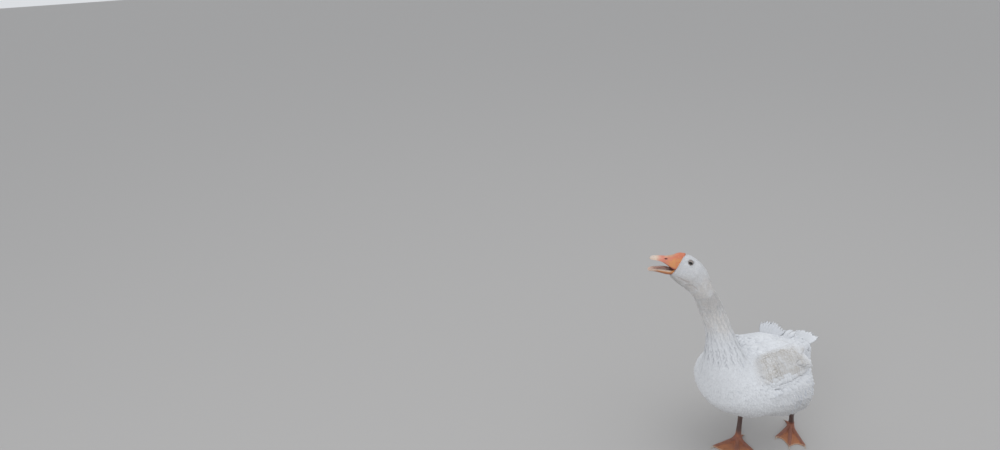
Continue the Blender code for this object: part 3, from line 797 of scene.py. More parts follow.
def scatter_tree():
    tree = Tree("grow_feathers", {
        "Kind": "Int", "Spacing": "Float", "Unrest": "Float", "Seed": "Int",
        "Blades": "Collection", "Finish": "Material",
    })
    given = tree.given
    spacing, unrest = Value(tree, given["Spacing"]), Value(tree, given["Unrest"])
    chosen = tree.node("FunctionNodeCompare", {"data_type": "INT", "operation": "EQUAL"},
                       {2: tree.named("kind", "INT"), 3: given["Kind"]})
    strewn = tree.node("GeometryNodeDistributePointsOnFaces", {"distribute_method": "POISSON"}, {
        "Mesh": given["Geometry"], "Selection": chosen.outputs[0], "Distance Min": spacing,
        "Density Max": CROWDING / (spacing * spacing), "Seed": given["Seed"],
    })
    points = tree.keep(strewn.outputs["Points"], "root",
                       tree.node("GeometryNodeInputPosition").outputs[0])
    points = tree.keep(points, "root_patch", tree.named("OFBake"))
    points = tree.keep(points, "tone", tree.chance(0.0, 1.0, 3), "FLOAT")

    turned = tree.node("FunctionNodeAxesToRotation", {"primary_axis": "Z", "secondary_axis": "Y"},
                       {0: strewn.outputs["Normal"], 1: tree.named("lie")})
    own = tree.triple(tree.number("lift") * tree.chance(0.88, 1.14, 5),
                      unrest * tree.chance(-0.6, 0.6, 9), unrest * tree.chance(-1.0, 1.0, 7))
    rotation = tree.node("FunctionNodeRotateRotation", {"rotation_space": "LOCAL"},
                         {0: turned.outputs[0], 1: own})
    long = tree.number("length") * tree.chance(0.93, 1.08, 11)
    wide = long * tree.number("broad")
    cuts = tree.node("GeometryNodeCollectionInfo", None,
                     {0: given["Blades"], "Separate Children": True, "Reset Children": True})
    placed = tree.node("GeometryNodeInstanceOnPoints", None, {
        "Points": points, "Instance": cuts.outputs[0], "Pick Instance": True,
        "Rotation": rotation.outputs[0], "Scale": tree.triple(wide, long, wide),
    })
    real = tree.node("GeometryNodeRealizeInstances", None, {0: placed.outputs[0]}).outputs[0]

    from_middle = tree.vector("SUBTRACT", tree.named("vane"), (0.5, 0.5, 0.0))
    patch = tree.vector("ADD", tree.named("root_patch"),
                        tree.vector("MULTIPLY", from_middle, (PATCH, PATCH, 0.0)))
    real = tree.drop(real, "OFBake", "lie", "length", "broad", "lift", "kind")
    real = tree.drop(tree.keep(real, "OFBake", patch, "FLOAT2", "CORNER"), "root_patch")
    real = tree.node("GeometryNodeSetMaterial", None, {0: real, "Material": given["Finish"]})
    tree.node("NodeGroupOutput", None, {0: real.outputs[0]})
    print("the scatter has", len(tree.tree.nodes), "nodes")
    return tree.tree


grow_feathers = scatter_tree()


def grown(name, tree, source, values):
    """A new object: what a geometry tree makes of a source mesh, as a plain mesh."""
    made = linked(name, source.data)
    modifier = made.modifiers.new(name, "NODES")
    modifier.node_group = tree
    for item in tree.interface.items_tree:
        if item.in_out == "INPUT" and item.name in values:
            modifier[item.identifier] = values[item.name]
    return bake_down(made)


# %% [markdown]
# ## The finish of the plumage
# A farm goose is white, but not one white. The neck is stained a mottled beige, the folded wing
# carries a dirty patch, and the lower flank is streaked with painted shade between its feathers.
# All of that depends on where a feather grows, so the finish reads the root's place, and skin and
# feathers agree. Along each feather, the base is darkened as painted shade and the fringe is painted
# paler as a highlight; on the wing patch a darker band is painted shadow of the covert tip above.
# Fine barbs give a silky grain.

# %% The plumage finish
WHITE, NECK_STAIN, WING_STAIN = (0.76, 0.78, 0.81), (0.665, 0.632, 0.602), (0.55, 0.53, 0.50)
LOW_STAIN, FURROW_SHADE, CREASE_SHADE = (0.78, 0.755, 0.73), (0.36, 0.34, 0.33), (0.33, 0.245, 0.20)
GAP_SHADE, DIRT, SPECK = (0.46, 0.50, 0.57), (0.30, 0.235, 0.19), (0.42, 0.42, 0.43)
UNDER_SHADE, FAR_SHADE, TONE_SHADE = (0.44, 0.43, 0.425), (0.40, 0.42, 0.46), (0.52, 0.53, 0.56)
BASE_SHADE, TIP_SHADOW = (0.40, 0.41, 0.44), (0.34, 0.31, 0.28)
FRINGE_HIGHLIGHT, SHAFT = (0.90, 0.91, 0.93), (0.86, 0.85, 0.82)
PATCH_PLACE = ((0.070, 0.057, 0.312), (0.060, 0.078, 0.037), 0.32)     # centre, radii, softness
SMUDGE_PLACE = ((0.019, 0.123, 0.318), (0.030, 0.012, 0.02), 0.5)
BELLY_PLACE = ((0.050, -0.060, 0.172), (0.045, 0.040, 0.020), 0.6)


def plumage(name, on_feather):
    finish = Finish(name, 0.78, Sheen_Weight=0.25, Sheen_Roughness=0.5, Specular_IOR_Level=0.25)
    root = finish.node("ShaderNodeAttribute", {"attribute_name": "root"}).outputs["Vector"]
    x, y, z = finish.parts(root)
    mottle, grain = finish.noise(root, 55.0, 3.0), finish.noise(root, 260.0, 2.0)

    neck = z.ramp(0.39, 0.45) * (1 - z.ramp(0.558, 0.60) * 0.75) * y.ramp(0.03, -0.02)
    neck = neck * (0.55 + mottle.ramp(0.3, 0.62) * 0.6)
    finish.ground(neck.least(1.0), WHITE, finish.mix(z.ramp(0.43, 0.54), LOW_STAIN, NECK_STAIN))
    # painted shade: the neck's furrows are darkened where the feathers part
    finish.cover(finish.number("furrow").ramp(0.45, 1.0) * neck * 0.10, FURROW_SHADE)
    speck = finish.noise(root, 190.0, 2.0).ramp(0.42, 0.62)
    finish.cover(speck * (0.12 + neck * 0.22), SPECK)

    edge = z + y.ramp(0.045, 0.105) * 0.015
    patch = finish.blob(root, *PATCH_PLACE) * x.ramp(0.020, 0.040) * edge.ramp(0.2990, 0.3025)
    patch = patch * (0.50 + mottle.ramp(0.3, 0.65) * 0.5)
    finish.cover(patch, WING_STAIN)
    finish.cover(finish.blob(root, *SMUDGE_PLACE) * grain.ramp(0.4, 0.62) * 0.30, DIRT)
    finish.cover(finish.blob(root, *BELLY_PLACE) * mottle.ramp(0.40, 0.65) * 0.70, DIRT)
    # painted shade in the cheek's creases, broken up by the grain
    finish.cover(finish.number("crease") * grain.ramp(0.25, 0.5) * 0.75, CREASE_SHADE)

    finish.cover(z.ramp(0.280, 0.190) * y.ramp(-0.118, -0.075) * 0.85, UNDER_SHADE)
    far_wing = y.ramp(0.105, 0.125) * z.ramp(0.296, 0.306) * x.ramp(-0.012, -0.028)
    finish.cover((far_wing * 0.42).most(y.ramp(0.165, 0.175) * 0.14), FAR_SHADE)
    # painted shade: vertical streaks on the lower flank stand for the shadows in the gaps between its
    # feathers
    gap_streaks = finish.streaks((170.0, 170.0, 16.0), 2.0).ramp(0.52, 0.66)
    finish.cover(gap_streaks * (z.ramp(0.27, 0.245) * y.ramp(0.0, 0.05)) * 0.60, GAP_SHADE)
    # painted shade: small grey-blue flecks on the lower body stand for shadows between feather tips
    gap_flecks = finish.noise(root, 140.0, 1.0).ramp(0.66, 0.74) * z.ramp(0.40, 0.33)
    finish.cover(gap_flecks * 0.25, GAP_SHADE)
    finish.cover((finish.number("tone") - 0.5) * 0.16 + 0.08, TONE_SHADE)
    if on_feather:
        vane = finish.node("ShaderNodeUVMap", {"uv_map": "vane"}).outputs[0]
        across, along, _ = finish.parts(vane)
        side = (across - 0.5).size() * 2
        # painted shade: the covered base of each feather is darkened
        finish.cover(along.ramp(0.75, 0.25) * 0.28, BASE_SHADE)
        # painted shadow: in the beige wing patch, a darker band across each covert where the tip
        # above shades it
        band = along.ramp(0.50, 0.68) * along.ramp(0.96, 0.84)
        finish.cover(band * patch * 0.45, TIP_SHADOW)
        # painted highlight: the edges and tip of each feather are paler
        fringe = side.most(along.ramp(0.4, 1.0)).ramp(0.72, 1.0) * along.ramp(0.3, 0.6)
        finish.cover(fringe * 0.30, FRINGE_HIGHLIGHT)
        shaft = side.ramp(0.10, 0.02) * along.ramp(0.95, 0.6)
        finish.cover(shaft * 0.22, SHAFT)
        barbs = (side * 34 - along * 46).sine() * 0.5 + 0.5
        finish.bump(barbs * 0.6 + shaft, 0.00012)
    else:
        # painted shade: the skin under the coat is darkened
        finish.cover(0.25, BASE_SHADE)
        finish.bump(grain, 0.0004)
    return finish.done()


feather_plumage = plumage("feather_plumage", True)
skin.data.materials.append(plumage("skin_plumage", False))
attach(skin, "root")
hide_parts(*BODY_NODES)

# %% [markdown]
# ## The coat, region by region
# Feathers are shortest on the face and longest on the back and wings. Each region is one mesh, with
# a spacing well under half of a feather's length, so that several lie over each other.

# %% Grow the coat
COAT = {                                 # spacing, unrest, blades
    "face": (0.00125, 0.10, fine_blades),
    "head": (0.00180, 0.08, fine_blades),
    "neck": (0.00280, 0.07, fine_blades),
    "collar": (0.00360, 0.07, fine_blades),
    "breast": (0.00500, 0.07, body_blades),
    "belly": (0.00510, 0.07, body_blades),
    "back": (0.00650, 0.08, body_blades),
    "wing": (0.00480, 0.06, body_blades),
    "thigh": (0.00400, 0.12, fine_blades),
}
FIRST_SEED = 20
THIN = 1.0

for number, (region, (spacing, unrest, cuts)) in enumerate(COAT.items()):
    piece = grown(f"{region}_feathers", grow_feathers, skin, {
        "Kind": KINDS[region], "Spacing": spacing * THIN, "Unrest": unrest,
        "Seed": FIRST_SEED + number, "Blades": cuts, "Finish": feather_plumage,
    })
    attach(piece, "root")
    print(f"{piece.name}: {triangles(piece.data)} triangles")

# %% [markdown]
# ## The big feathers
# Tail, inner wing, coverts and wing tips are too large for a scatter: each one counts. A long vane
# has a shaft, a cupped section, a bend along its length, a ragged tip and a few splits in its edge,
# and it carries the same root, tone and patch as the small ones. Fans spread them round a root, and
# rows lay them on the skin.

# %% How a piece is finished and named
def outward(mesh):
    """Turns all faces outward and shades them smooth."""
    work = bmesh.new()
    work.from_mesh(mesh)
    bmesh.ops.recalc_face_normals(work, faces=work.faces)
    work.to_mesh(mesh)
    work.free()
    mesh.shade_smooth()
    return mesh


def show(name, mesh, finish, replaced=()):
    """A finished piece: it rides on the body, has its slot, and stands for its CAD nodes."""
    mesh.name = name
    made = linked(name, mesh)
    mesh.materials.clear()
    mesh.materials.append(finish)
    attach(made, "root")
    if replaced:
        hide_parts(*replaced)
    print(f"{name}: {triangles(mesh)} triangles")


# %% Long vanes, fans and rows
ROWS, COLUMNS = 20, 8
SPLITS = 3                               # on each side of a vane
VANE_THICK, SHAFT_RISE = 0.0005, 0.0006
FAN_ENDS = ((0.12, 0.15), (1.0, 0.13))   # how far out and how far apart vanes start and end
FAN_STEP = (0.00045, 0.00020)            # how much higher each vane starts and ends than the last
skin_tree = tree_of(skin.data)
skin_map = skin.data.uv_layers["OFBake"].data
skin_patches = [sum((skin_map[i].uv for i in p.loop_indices), Vector((0, 0))) / p.loop_total
                for p in skin.data.polygons]


def vane_grid():
    """Faces of one closed vane: an upper and a lower sheet that share their rim."""
    upper = np.arange((ROWS + 1) * (COLUMNS + 1)).reshape(ROWS + 1, COLUMNS + 1)
    lower = upper.copy()
    inner = lower[1:-1, 1:-1]
    inner[:] = upper.size + np.arange(inner.size).reshape(inner.shape)
    sheets = []
    for sheet, order in ((upper, (0, 1, 2, 3)), (lower, (3, 2, 1, 0))):
        quads = np.stack([sheet[:-1, :-1], sheet[:-1, 1:], sheet[1:, 1:], sheet[1:, :-1]], axis=2)
        sheets.append(quads.reshape(-1, 4)[:, order])
    return np.vstack(sheets)


class Vanes:
    """Gathers long feathers, and makes them one mesh."""

    def __init__(self):
        self.points, self.faces, self.uvs = [], [], []
        self.roots, self.tones, self.patches = [], [], []

    def add(self, root, ahead, up, length, width, camber,
            arch=0.03, sag=0.05, blunt=2.4, ragged=0.03):
        """One vane: its width along its length, its splits and tip, its height, and two sheets."""
        along, across = np.meshgrid(np.linspace(0, 1, ROWS + 1) ** 0.85,
                                    np.linspace(-1, 1, COLUMNS + 1), indexing="ij")
        half = 0.5 * width * (0.35 + 0.65 * np.minimum(1, along / 0.5) ** 0.8)
        half = half * np.sqrt(np.maximum(0.0, 1 - (np.maximum(0, along - 0.5) / 0.512) ** blunt))
        for sign in (-1, 1):
            for split in random.uniform(0.35, 0.93, SPLITS):
                cut = random.uniform(0.05, 0.22) * np.exp(-((along - split) / 0.022) ** 2)
                half = half * (1 - cut * (across * sign > 0.9))
        end = 1 + ragged * random.uniform(-1, 1, COLUMNS + 1)[None, :] * along ** 5
        ahead, up = Vector(ahead).normalized(), Vector(up)
        up = (up - ahead * up.dot(ahead)).normalized()
        side = ahead.cross(up)
        twist = random.uniform(-0.10, 0.10)
        reach = length * (along * end - 0.06 * across ** 2 * along)
        rise = length * (arch * np.sin(np.pi * along) - sag * along ** 2)
        rise = camber * half * (1 - across ** 2) + rise + twist * across * half * along
        rise = rise + SHAFT_RISE * np.exp(-(across / 0.2) ** 2) * (1 - along)
        thick = VANE_THICK * (1 - across ** 2) * (1 - 0.6 * along) * (np.abs(across) < 1)
        upper, lower = (
            np.array(root) + reach[..., None] * np.array(ahead)
            + (across * half)[..., None] * np.array(side)
            + (rise + sheet * thick)[..., None] * np.array(up) for sheet in (1, -1)
        )
        uv = np.stack([0.5 + 0.5 * across, along], axis=2)
        self.faces.append(vane_grid() + sum(len(p) for p in self.points))
        self.points.append(np.vstack([upper.reshape(-1, 3), lower[1:-1, 1:-1].reshape(-1, 3)]))
        self.uvs.append(np.vstack([uv.reshape(-1, 2), uv[1:-1, 1:-1].reshape(-1, 2)]))
        count, index = len(self.points[-1]), skin_tree.find_nearest(Vector(root))[2]
        self.roots.append(np.tile(np.array(root), (count, 1)))
        self.tones.append(np.full(count, random.uniform(0, 1)))
        self.patches.append(np.tile(np.array(skin_patches[index]), (count, 1)))

    def mesh(self):
        faces, uvs, patches = (np.vstack(rows) for rows in (self.faces, self.uvs, self.patches))
        mesh = bpy.data.meshes.new("vanes")
        mesh.from_pydata(np.vstack(self.points).tolist(), [], faces.tolist())
        corners = faces.ravel()
        patch = patches[corners] + (uvs[corners] - 0.5) * PATCH
        for name, values in (("vane", uvs[corners]), ("OFBake", patch)):
            mesh.uv_layers.new(name=name).data.foreach_set("uv", values.ravel())
        store(mesh, "root", "FLOAT_VECTOR", "POINT", np.vstack(self.roots))
        plain = np.zeros(len(mesh.vertices))
        store_numbers(mesh, tone=np.concatenate(self.tones), furrow=plain, crease=plain)
        return outward(mesh)

    def fan(self, place, length, spread, count, width, level=0.0, share=1.0, **shape):
        """Feathers that spread from a root, the middle ones on top."""
        root, swing, lift, roll = place
        frame = Matrix.Translation(root) @ turn_by(-swing, "Z", 4) @ turn_by(lift, "X", 4)
        frame = frame @ turn_by(-roll, "Y", 4)
        order = sorted(range(count), key=lambda k: -abs(2 * k - count + 1))
        for rank, k in enumerate(order):
            part = 2 * k / (count - 1) - 1
            turn = part / 2 * math.radians(spread)
            ends = []
            for reach, beside in FAN_ENDS:
                x = math.sin(turn) * reach * length + beside * length * part
                height = -0.30 * x * x / length + level
                ends.append(Vector((x, math.cos(turn) * reach * length, height)))
            over = Vector((0.6 * ends[1].x / length, 0, 1))
            for end, step in zip(ends, FAN_STEP):
                end.z += step * rank
            way = ends[1] - ends[0]
            turned = frame.to_3x3()
            long = way.length * share * random.uniform(0.95, 1.0) * (1 - 0.05 * part * part)
            self.add(frame @ ends[0], turned @ way, turned @ over, long, width, **shape)

    def row(self, first, last, count, length, width, way, lift, rise, mirrored=1, **shape):
        """Feathers laid on the skin, from one point to another, each over the next."""
        mirror = Vector((mirrored, 1, 1))
        first, last, way = (Vector(given) * mirror for given in (first, last, way))
        lift = math.radians(lift)
        for k in reversed(range(count)):
            spot = first.lerp(last, (k + random.uniform(-0.12, 0.12)) / max(1, count - 1))
            place, normal, _, _ = skin_tree.find_nearest(spot)
            ahead = (way - normal * way.dot(normal)).normalized()
            ahead = ahead * math.cos(lift) + normal * math.sin(lift)
            self.add(place + normal * rise, ahead, normal, length * random.uniform(0.94, 1.06),
                     width * random.uniform(0.94, 1.06), **shape)


print("a vane has", len(vane_grid()), "faces")

# %% [markdown]
# ## Tail, inner wings and coverts
# The tail is a fan of stiff feathers with shorter coverts above and below it. Behind the wings
# stand the loose inner feathers. On the wings, rows of greater coverts and of wing feathers end the
# patch of small coverts with a clear edge, and the wing tips cross over the rump.

# %% Tail and inner wings
TAIL = (((-0.006, 0.1732, 0.284), -16, 11, 24), 0.088)      # root, swing, lift, roll; length
INNER_LEFT = (((0.055, 0.1052, 0.3135), FAN_SWING, -7, -6), 0.056)
INNER_RIGHT = (((-0.038, 0.1182, 0.310), -24, 25, 0), 0.062)

tail = Vanes()
tail.fan(*TAIL, 56, 11, 0.024, -0.0040, 0.70, camber=0.12, sag=0.03)
tail.fan(*TAIL, 56, 13, 0.022, camber=0.12, blunt=2.2, sag=-0.01, arch=-0.01, ragged=0.08)
tail.fan(*TAIL, 52, 10, 0.022, 0.0012, 0.66, camber=0.12, sag=0.04, arch=0.0, ragged=0.06)
tail.fan(*TAIL, 46, 8, 0.024, 0.0020, 0.42, camber=0.12, arch=0.0)
show("tail_feathers", tail.mesh(), feather_plumage, ["tail"])

inner = Vanes()
for level, share in ((-0.0030, 1.0), (-0.0008, 0.74)):
    inner.fan(*INNER_LEFT, 32, 6, 0.017, level, share, camber=0.12, blunt=2.2, arch=0.0, sag=0.04,
              ragged=0.06)
show("inner_feathers_left", inner.mesh(), feather_plumage, ["tertials_left"])
inner = Vanes()
for level, share, count in ((-0.0014, 1.0, 10), (0.0004, 0.86, 8), (0.0016, 0.60, 6)):
    inner.fan(*INNER_RIGHT, 52, count, 0.014, level, share, camber=0.14, blunt=1.8, ragged=0.10,
              sag=0.01)
inner.row((-0.044, 0.140, 0.300), (-0.016, 0.165, 0.300), 8, 0.042, 0.013, (-0.30, 1, 0.10), 13,
          0.002, camber=0.12, blunt=1.8, ragged=0.08)
show("inner_feathers_right", inner.mesh(), feather_plumage, ["tertials_right"])

# %% Coverts and wing tips
COVERT_ROWS, COVERTS = 14, 9             # rows on a wing, and feathers in a row
ROW_START, ROW_STEP = 0.002, 0.0098
TIP_ROW = ((0.055, 0.130, 0.305), (0.035, 0.150, 0.305))

for side, mirrored in (("left", 1), ("right", -1)):
    coverts = Vanes()
    for k in reversed(range(COVERT_ROWS)):
        y = ROW_START + ROW_STEP * k
        first = np.array((0.046, y + 0.010, 0.330))
        last = np.array((0.108, y - 0.004, 0.2930 + 0.0025 * abs(k - 5) / 4))
        start = first + (last - first) * (0.5 * (k % 2) / COVERTS)
        coverts.row(start, last, COVERTS - k % 2, 0.023, 0.0150, (-0.10, 1, -0.12), 6,
                    0.0010 + 0.0004 * min(k, 4), mirrored, camber=0.07, blunt=2.2, sag=0.07,
                    ragged=0.04)
    coverts.row(*TIP_ROW, 5, 0.056, 0.014, (-0.35, 1, 0.0), 2, 0.0014, mirrored, camber=0.12,
                blunt=1.8)
    show(f"wing_coverts_{side}", coverts.mesh(), feather_plumage)

# %% [markdown]
# ## Lofts
# The bill is a loft: a table gives height and breadth at a few shares of the length, a smooth curve
# runs through them, and rings of points are set round the sections. Tongue, throat and eyeballs are
# rings too, set by formulas. One function closes the rings to a tube, and another keeps numbers on
# its points, which the finishes read.

# %% Tubes, and the numbers kept on them
def smooth_through(knots, values, at):
    """Values at the places `at` of a smooth curve through `values` at the places `knots`."""
    knots, values = np.asarray(knots, float), np.asarray(values, float)
    steps = np.diff(knots)
    slopes = np.diff(values, axis=0) / steps[:, None]
    tangents = np.empty_like(values)
    tangents[0], tangents[-1] = slopes[0], slopes[-1]
    weights = (steps[1:] / (steps[:-1] + steps[1:]))[:, None]
    tangents[1:-1] = slopes[:-1] * weights + slopes[1:] * (1 - weights)
    i = np.clip(np.searchsorted(knots, at, side="right") - 1, 0, len(steps) - 1)
    h, t = steps[i][:, None], ((at - knots[i]) / steps[i])[:, None]
    return (
        values[i] * (1 + 2 * t) * (1 - t) ** 2 + tangents[i] * h * t * (1 - t) ** 2
        + values[i + 1] * t * t * (3 - 2 * t) + tangents[i + 1] * h * t * t * (t - 1)
    )


def circle(sides):
    """Angles round a ring."""
    return 2 * np.pi * np.arange(sides) / sides


def spots_of(x, y, z):
    """Points from grids of their coordinates."""
    return np.stack(np.broadcast_arrays(x, y, z), axis=-1).reshape(-1, 3)


def tube_mesh(points, rings):
    """A closed tube mesh of rings of points, with both ends filled by fans."""
    sides = len(points) // rings
    quads = [(i * sides + j, i * sides + (j + 1) % sides, (i + 1) * sides + (j + 1) % sides,
              (i + 1) * sides + j) for i in range(rings - 1) for j in range(sides)]
    first, last = len(points), len(points) + 1
    points = np.vstack([points, points[:sides].mean(0), points[-sides:].mean(0)])
    quads += [(first, (j + 1) % sides, j) for j in range(sides)]
    start = (rings - 1) * sides
    quads += [(last, start + j, start + (j + 1) % sides) for j in range(sides)]
    mesh = bpy.data.meshes.new("tube")
    mesh.from_pydata(points.tolist(), [], quads)
    return outward(mesh)


def keep_values(mesh, shape, **fields):
    """Stores a number for each ring point; the two end points get those of their rings."""
    for label, values in fields.items():
        values = np.broadcast_to(values, shape).ravel()
        store_numbers(mesh, **{label: np.concatenate([values, values[[0, -1]]])})
    return mesh


# %% [markdown]
# ## The bill
# Both halves of the bill are horn under a thin skin: salmon with an orange patch at the corner of
# the mouth, cream towards the nail. Small terms added to the loft press in the slit of the nostril,
# raise the nail, round the lip and cut its row of fine teeth. The last ring reaches into the head,
# so that no gap shows at the feathers.

# %% Loft both halves of the bill
UPPER_BILL = (            # share of the length, outer side, lip, inner side, half the breadth
    (0.00, 0.0430, 0.0004, 0.0006, 0.0160),
    (0.12, 0.0400, 0.0008, 0.0040, 0.0155),
    (0.28, 0.0293, 0.0026, 0.0070, 0.0145),
    (0.45, 0.0211, 0.0049, 0.0088, 0.0133),
    (0.62, 0.0166, 0.0055, 0.0088, 0.0123),
    (0.78, 0.0122, 0.0034, 0.0060, 0.0114),
    (0.90, 0.0082, 0.0010, 0.0030, 0.0098),
    (0.97, 0.0052, -0.0006, 0.0006, 0.0068),
    (1.00, 0.0020, -0.0016, -0.0012, 0.0026),
)
LOWER_BILL = (
    (0.00, -0.0176, -0.0013, -0.0014, 0.0140),
    (0.12, -0.0170, -0.0019, -0.0032, 0.0134),
    (0.28, -0.0154, -0.0011, -0.0030, 0.0126),
    (0.45, -0.0124, 0.0004, -0.0020, 0.0118),
    (0.62, -0.0093, 0.0014, -0.0008, 0.0109),
    (0.78, -0.0074, 0.0020, 0.0002, 0.0099),
    (0.90, -0.0062, 0.0010, -0.0004, 0.0082),
    (0.97, -0.0052, -0.0004, -0.0012, 0.0058),
    (1.00, -0.0038, -0.0014, -0.0018, 0.0024),
)
UPPER_LENGTH, LOWER_LENGTH = 0.066, 0.0635
UPPER_LIFT, LOWER_DROP = 15, 10          # degrees that each half opens from the face
GAPE = (-0.0349, -0.0225)                # (y, z) of the mouth's corner, in the head's frame
FACE_SLOPE = 0.372                       # how the edge of the feathers leans, y over z
FACE_REACH = 0.4                         # share of the bill that follows that edge
INTO_HEAD = 0.004
TEETH = 30
BILL_STEPS = np.concatenate([[-0.001], np.linspace(0, 0.86, 130), np.linspace(0.87, 1.0, 22)])
BILL_SIDES = 96


def placed_in_head(mesh):
    mesh.transform(head_frame)
    return mesh


def opened(points, degrees):
    """Points turned about the corner of the mouth."""
    return points @ np.array(turn_by(degrees, "X")).T + (0, *GAPE)


def bump_at(share, turn, centre, radii):
    """1 at a centre on the loft's own (share, degrees) plane, 0 outside an ellipse."""
    return ramp(np.hypot((share - centre[0]) / radii[0], (turn - centre[1]) / radii[1]), 1.0, 0.45)


def bill_half(rows, length, tilt, outside):
    """One half: `outside` is 1 where its rounded side faces up and -1 where it faces down."""
    shapes = smooth_through([r[0] for r in rows], [r[1:] for r in rows], np.clip(BILL_STEPS, 0, 1))
    outer, edge, inner, breadth = (shapes[:, i][:, None] for i in range(4))
    turn, share = circle(BILL_SIDES)[None, :], BILL_STEPS[:, None]
    up, out = np.cos(turn), np.sin(turn)
    height = edge + np.where(up * outside >= 0, (outer - edge) * np.abs(up) ** 1.15,
                             (inner - edge) * np.abs(up) ** 0.6)
    across = breadth * np.sign(out) * np.abs(out) ** 0.8
    degrees = np.degrees(np.arccos(np.clip(up * outside, -1, 1)))
    lip = np.exp(-((degrees - 90) / 9) ** 2) * ramp(share, 0.0, 0.1)
    teeth = np.cos(2 * np.pi * TEETH * share) * np.exp(-((degrees - 104) / 9) ** 2)
    teeth = teeth * ramp(share, 0.12, 0.2) * ramp(share, 0.9, 0.82)
    across = across * (1 + 0.035 * lip + 0.018 * teeth)
    height = height - outside * 0.0003 * teeth
    if outside > 0:
        nostril = bump_at(share, degrees, (0.48, 38), (0.078, 9.5))
        rim = bump_at(share, degrees, (0.47, 38), (0.115, 18)) - nostril
        nail = ramp(share, 0.845, 0.875) * ramp(degrees, 66, 52)
        crest = np.exp(-(degrees / 16) ** 2) * ramp(share, 0.85, 0.5)
        height = height - 0.0024 * nostril + 0.0005 * rim + 0.0005 * nail + 0.0005 * crest
        across = across * (1 - 0.13 * nostril + 0.03 * rim)
    else:
        nostril = 0
        nail = ramp(share, 0.88, 0.91) * ramp(degrees, 66, 52)
        keel = np.exp(-(degrees / 22) ** 2)
        height = height - 0.0004 * nail + 0.0007 * keel * ramp(share, 0.9, 0.2)
    spot = opened(spots_of(across, -share * length, height), -tilt)
    base = opened(spots_of(across, 0, height), -tilt)
    face = GAPE[0] + FACE_SLOPE * (base[:, 2] - GAPE[1])
    follow = np.clip(1 - np.repeat(BILL_STEPS, BILL_SIDES) / FACE_REACH, 0, 1)
    spot[:, 1] += (face - base[:, 1]) * follow
    spot[:BILL_SIDES, 1] += INTO_HEAD
    mesh = tube_mesh(spot, len(BILL_STEPS))
    keep_values(mesh, height.shape, along=share, around=degrees / 180, nail=nail, nostril=nostril)
    return placed_in_head(mesh)


# %% Finish of the bill
SALMON, PINK = (0.62, 0.185, 0.095), (0.66, 0.235, 0.165)
ORANGE, RIDGE_TAN = (0.76, 0.36, 0.12), (0.56, 0.42, 0.26)
LIP_SHADE_RED, CREAM, NAIL_HORN = (0.34, 0.085, 0.055), (0.68, 0.54, 0.43), (0.70, 0.62, 0.54)
LOWER_ORANGE, UNDERSIDE_SHADE_RED = (0.66, 0.27, 0.085), (0.34, 0.10, 0.06)
LOWER_CREAM, LOWER_EDGE = (0.66, 0.53, 0.45), (0.76, 0.60, 0.48)
BLOTCH_DARK, BLOTCH_PALE = (0.50, 0.20, 0.13), (0.80, 0.50, 0.36)
PALATE, FLOOR_PINK = (0.30, 0.13, 0.10), (0.68, 0.47, 0.38)
MOUTH_BACK_SHADE, NOSTRIL_SHADE = (0.13, 0.035, 0.032), (0.045, 0.014, 0.012)


def bill_finish(name, upper):
    finish = Finish(name, 0.42, Coat_Roughness=0.35, Specular_IOR_Level=0.45)
    along, around = finish.number("along"), finish.number("around")
    blotch = finish.noise(finish.place(), 130.0, 3.0)
    if upper:
        finish.ground(along.ramp(0.10, 0.60), SALMON, PINK)
        corner = along.ramp(0.52, 0.22) * around.ramp(0.16, 0.30)
        finish.cover(corner * blotch.ramp(0.30, 0.60) * 0.85, ORANGE)
        ridge = around.ramp(0.16, 0.05) * along.ramp(0.18, 0.30) * along.ramp(0.60, 0.45)
        finish.cover(ridge * 0.60, RIDGE_TAN)
        # painted shade: the upper bill's lip and the gap behind it are darkened to a deep red
        finish.cover(around.ramp(0.44, 0.50) * along.ramp(0.62, 0.45), LIP_SHADE_RED)
        finish.cover(along.ramp(0.62, 0.84), CREAM)
    else:
        # painted shade: the lower bill is dark red underneath and orange on its sides
        finish.ground(around.ramp(0.40, 0.16), LOWER_ORANGE, UNDERSIDE_SHADE_RED)
        finish.cover(along.ramp(0.55, 0.88), LOWER_CREAM)
        finish.cover(around.ramp(0.34, 0.44) * along.ramp(0.04, 0.2), LOWER_EDGE)
    finish.cover(finish.number("nail"), NAIL_HORN)
    finish.cover(blotch.ramp(0.45, 0.75) * 0.40, BLOTCH_DARK)
    finish.cover((1 - blotch).ramp(0.5, 0.8) * 0.25, BLOTCH_PALE)
    mouth = around.ramp(0.60, 0.68)
    finish.cover(mouth, PALATE if upper else FLOOR_PINK)
    # painted shade: the inside of the mouth darkens towards the throat
    finish.cover(mouth * along.ramp(0.36, 0.10) * 0.85, MOUTH_BACK_SHADE)
    # painted shade in the slit of the nostril
    finish.cover(finish.number("nostril").ramp(0.20, 0.75), NOSTRIL_SHADE)
    fine = finish.noise(finish.place(), 700.0, 2.0)
    lines = finish.streaks((900.0, 120.0, 900.0), 2.0)
    finish.bump(blotch * 0.5 + fine * 0.25 + lines * 0.25, 0.0005)
    return finish.done(0.36 + blotch * 0.22)


show("upper_bill_horn", bill_half(UPPER_BILL, UPPER_LENGTH, UPPER_LIFT, 1),
     bill_finish("upper_horn", True), ["upper_bill"])
show("lower_bill_horn", bill_half(LOWER_BILL, LOWER_LENGTH, -LOWER_DROP, -1),
     bill_finish("lower_horn", False), ["lower_bill"])

# %% [markdown]
# ## Inside the mouth
# An open bill shows the tongue, a long narrow leaf with horny teeth along its sides, and behind it
# the dark red lining of the throat, with painted shade deeper in. The lining is a short cup between
# both halves, hollow in front.

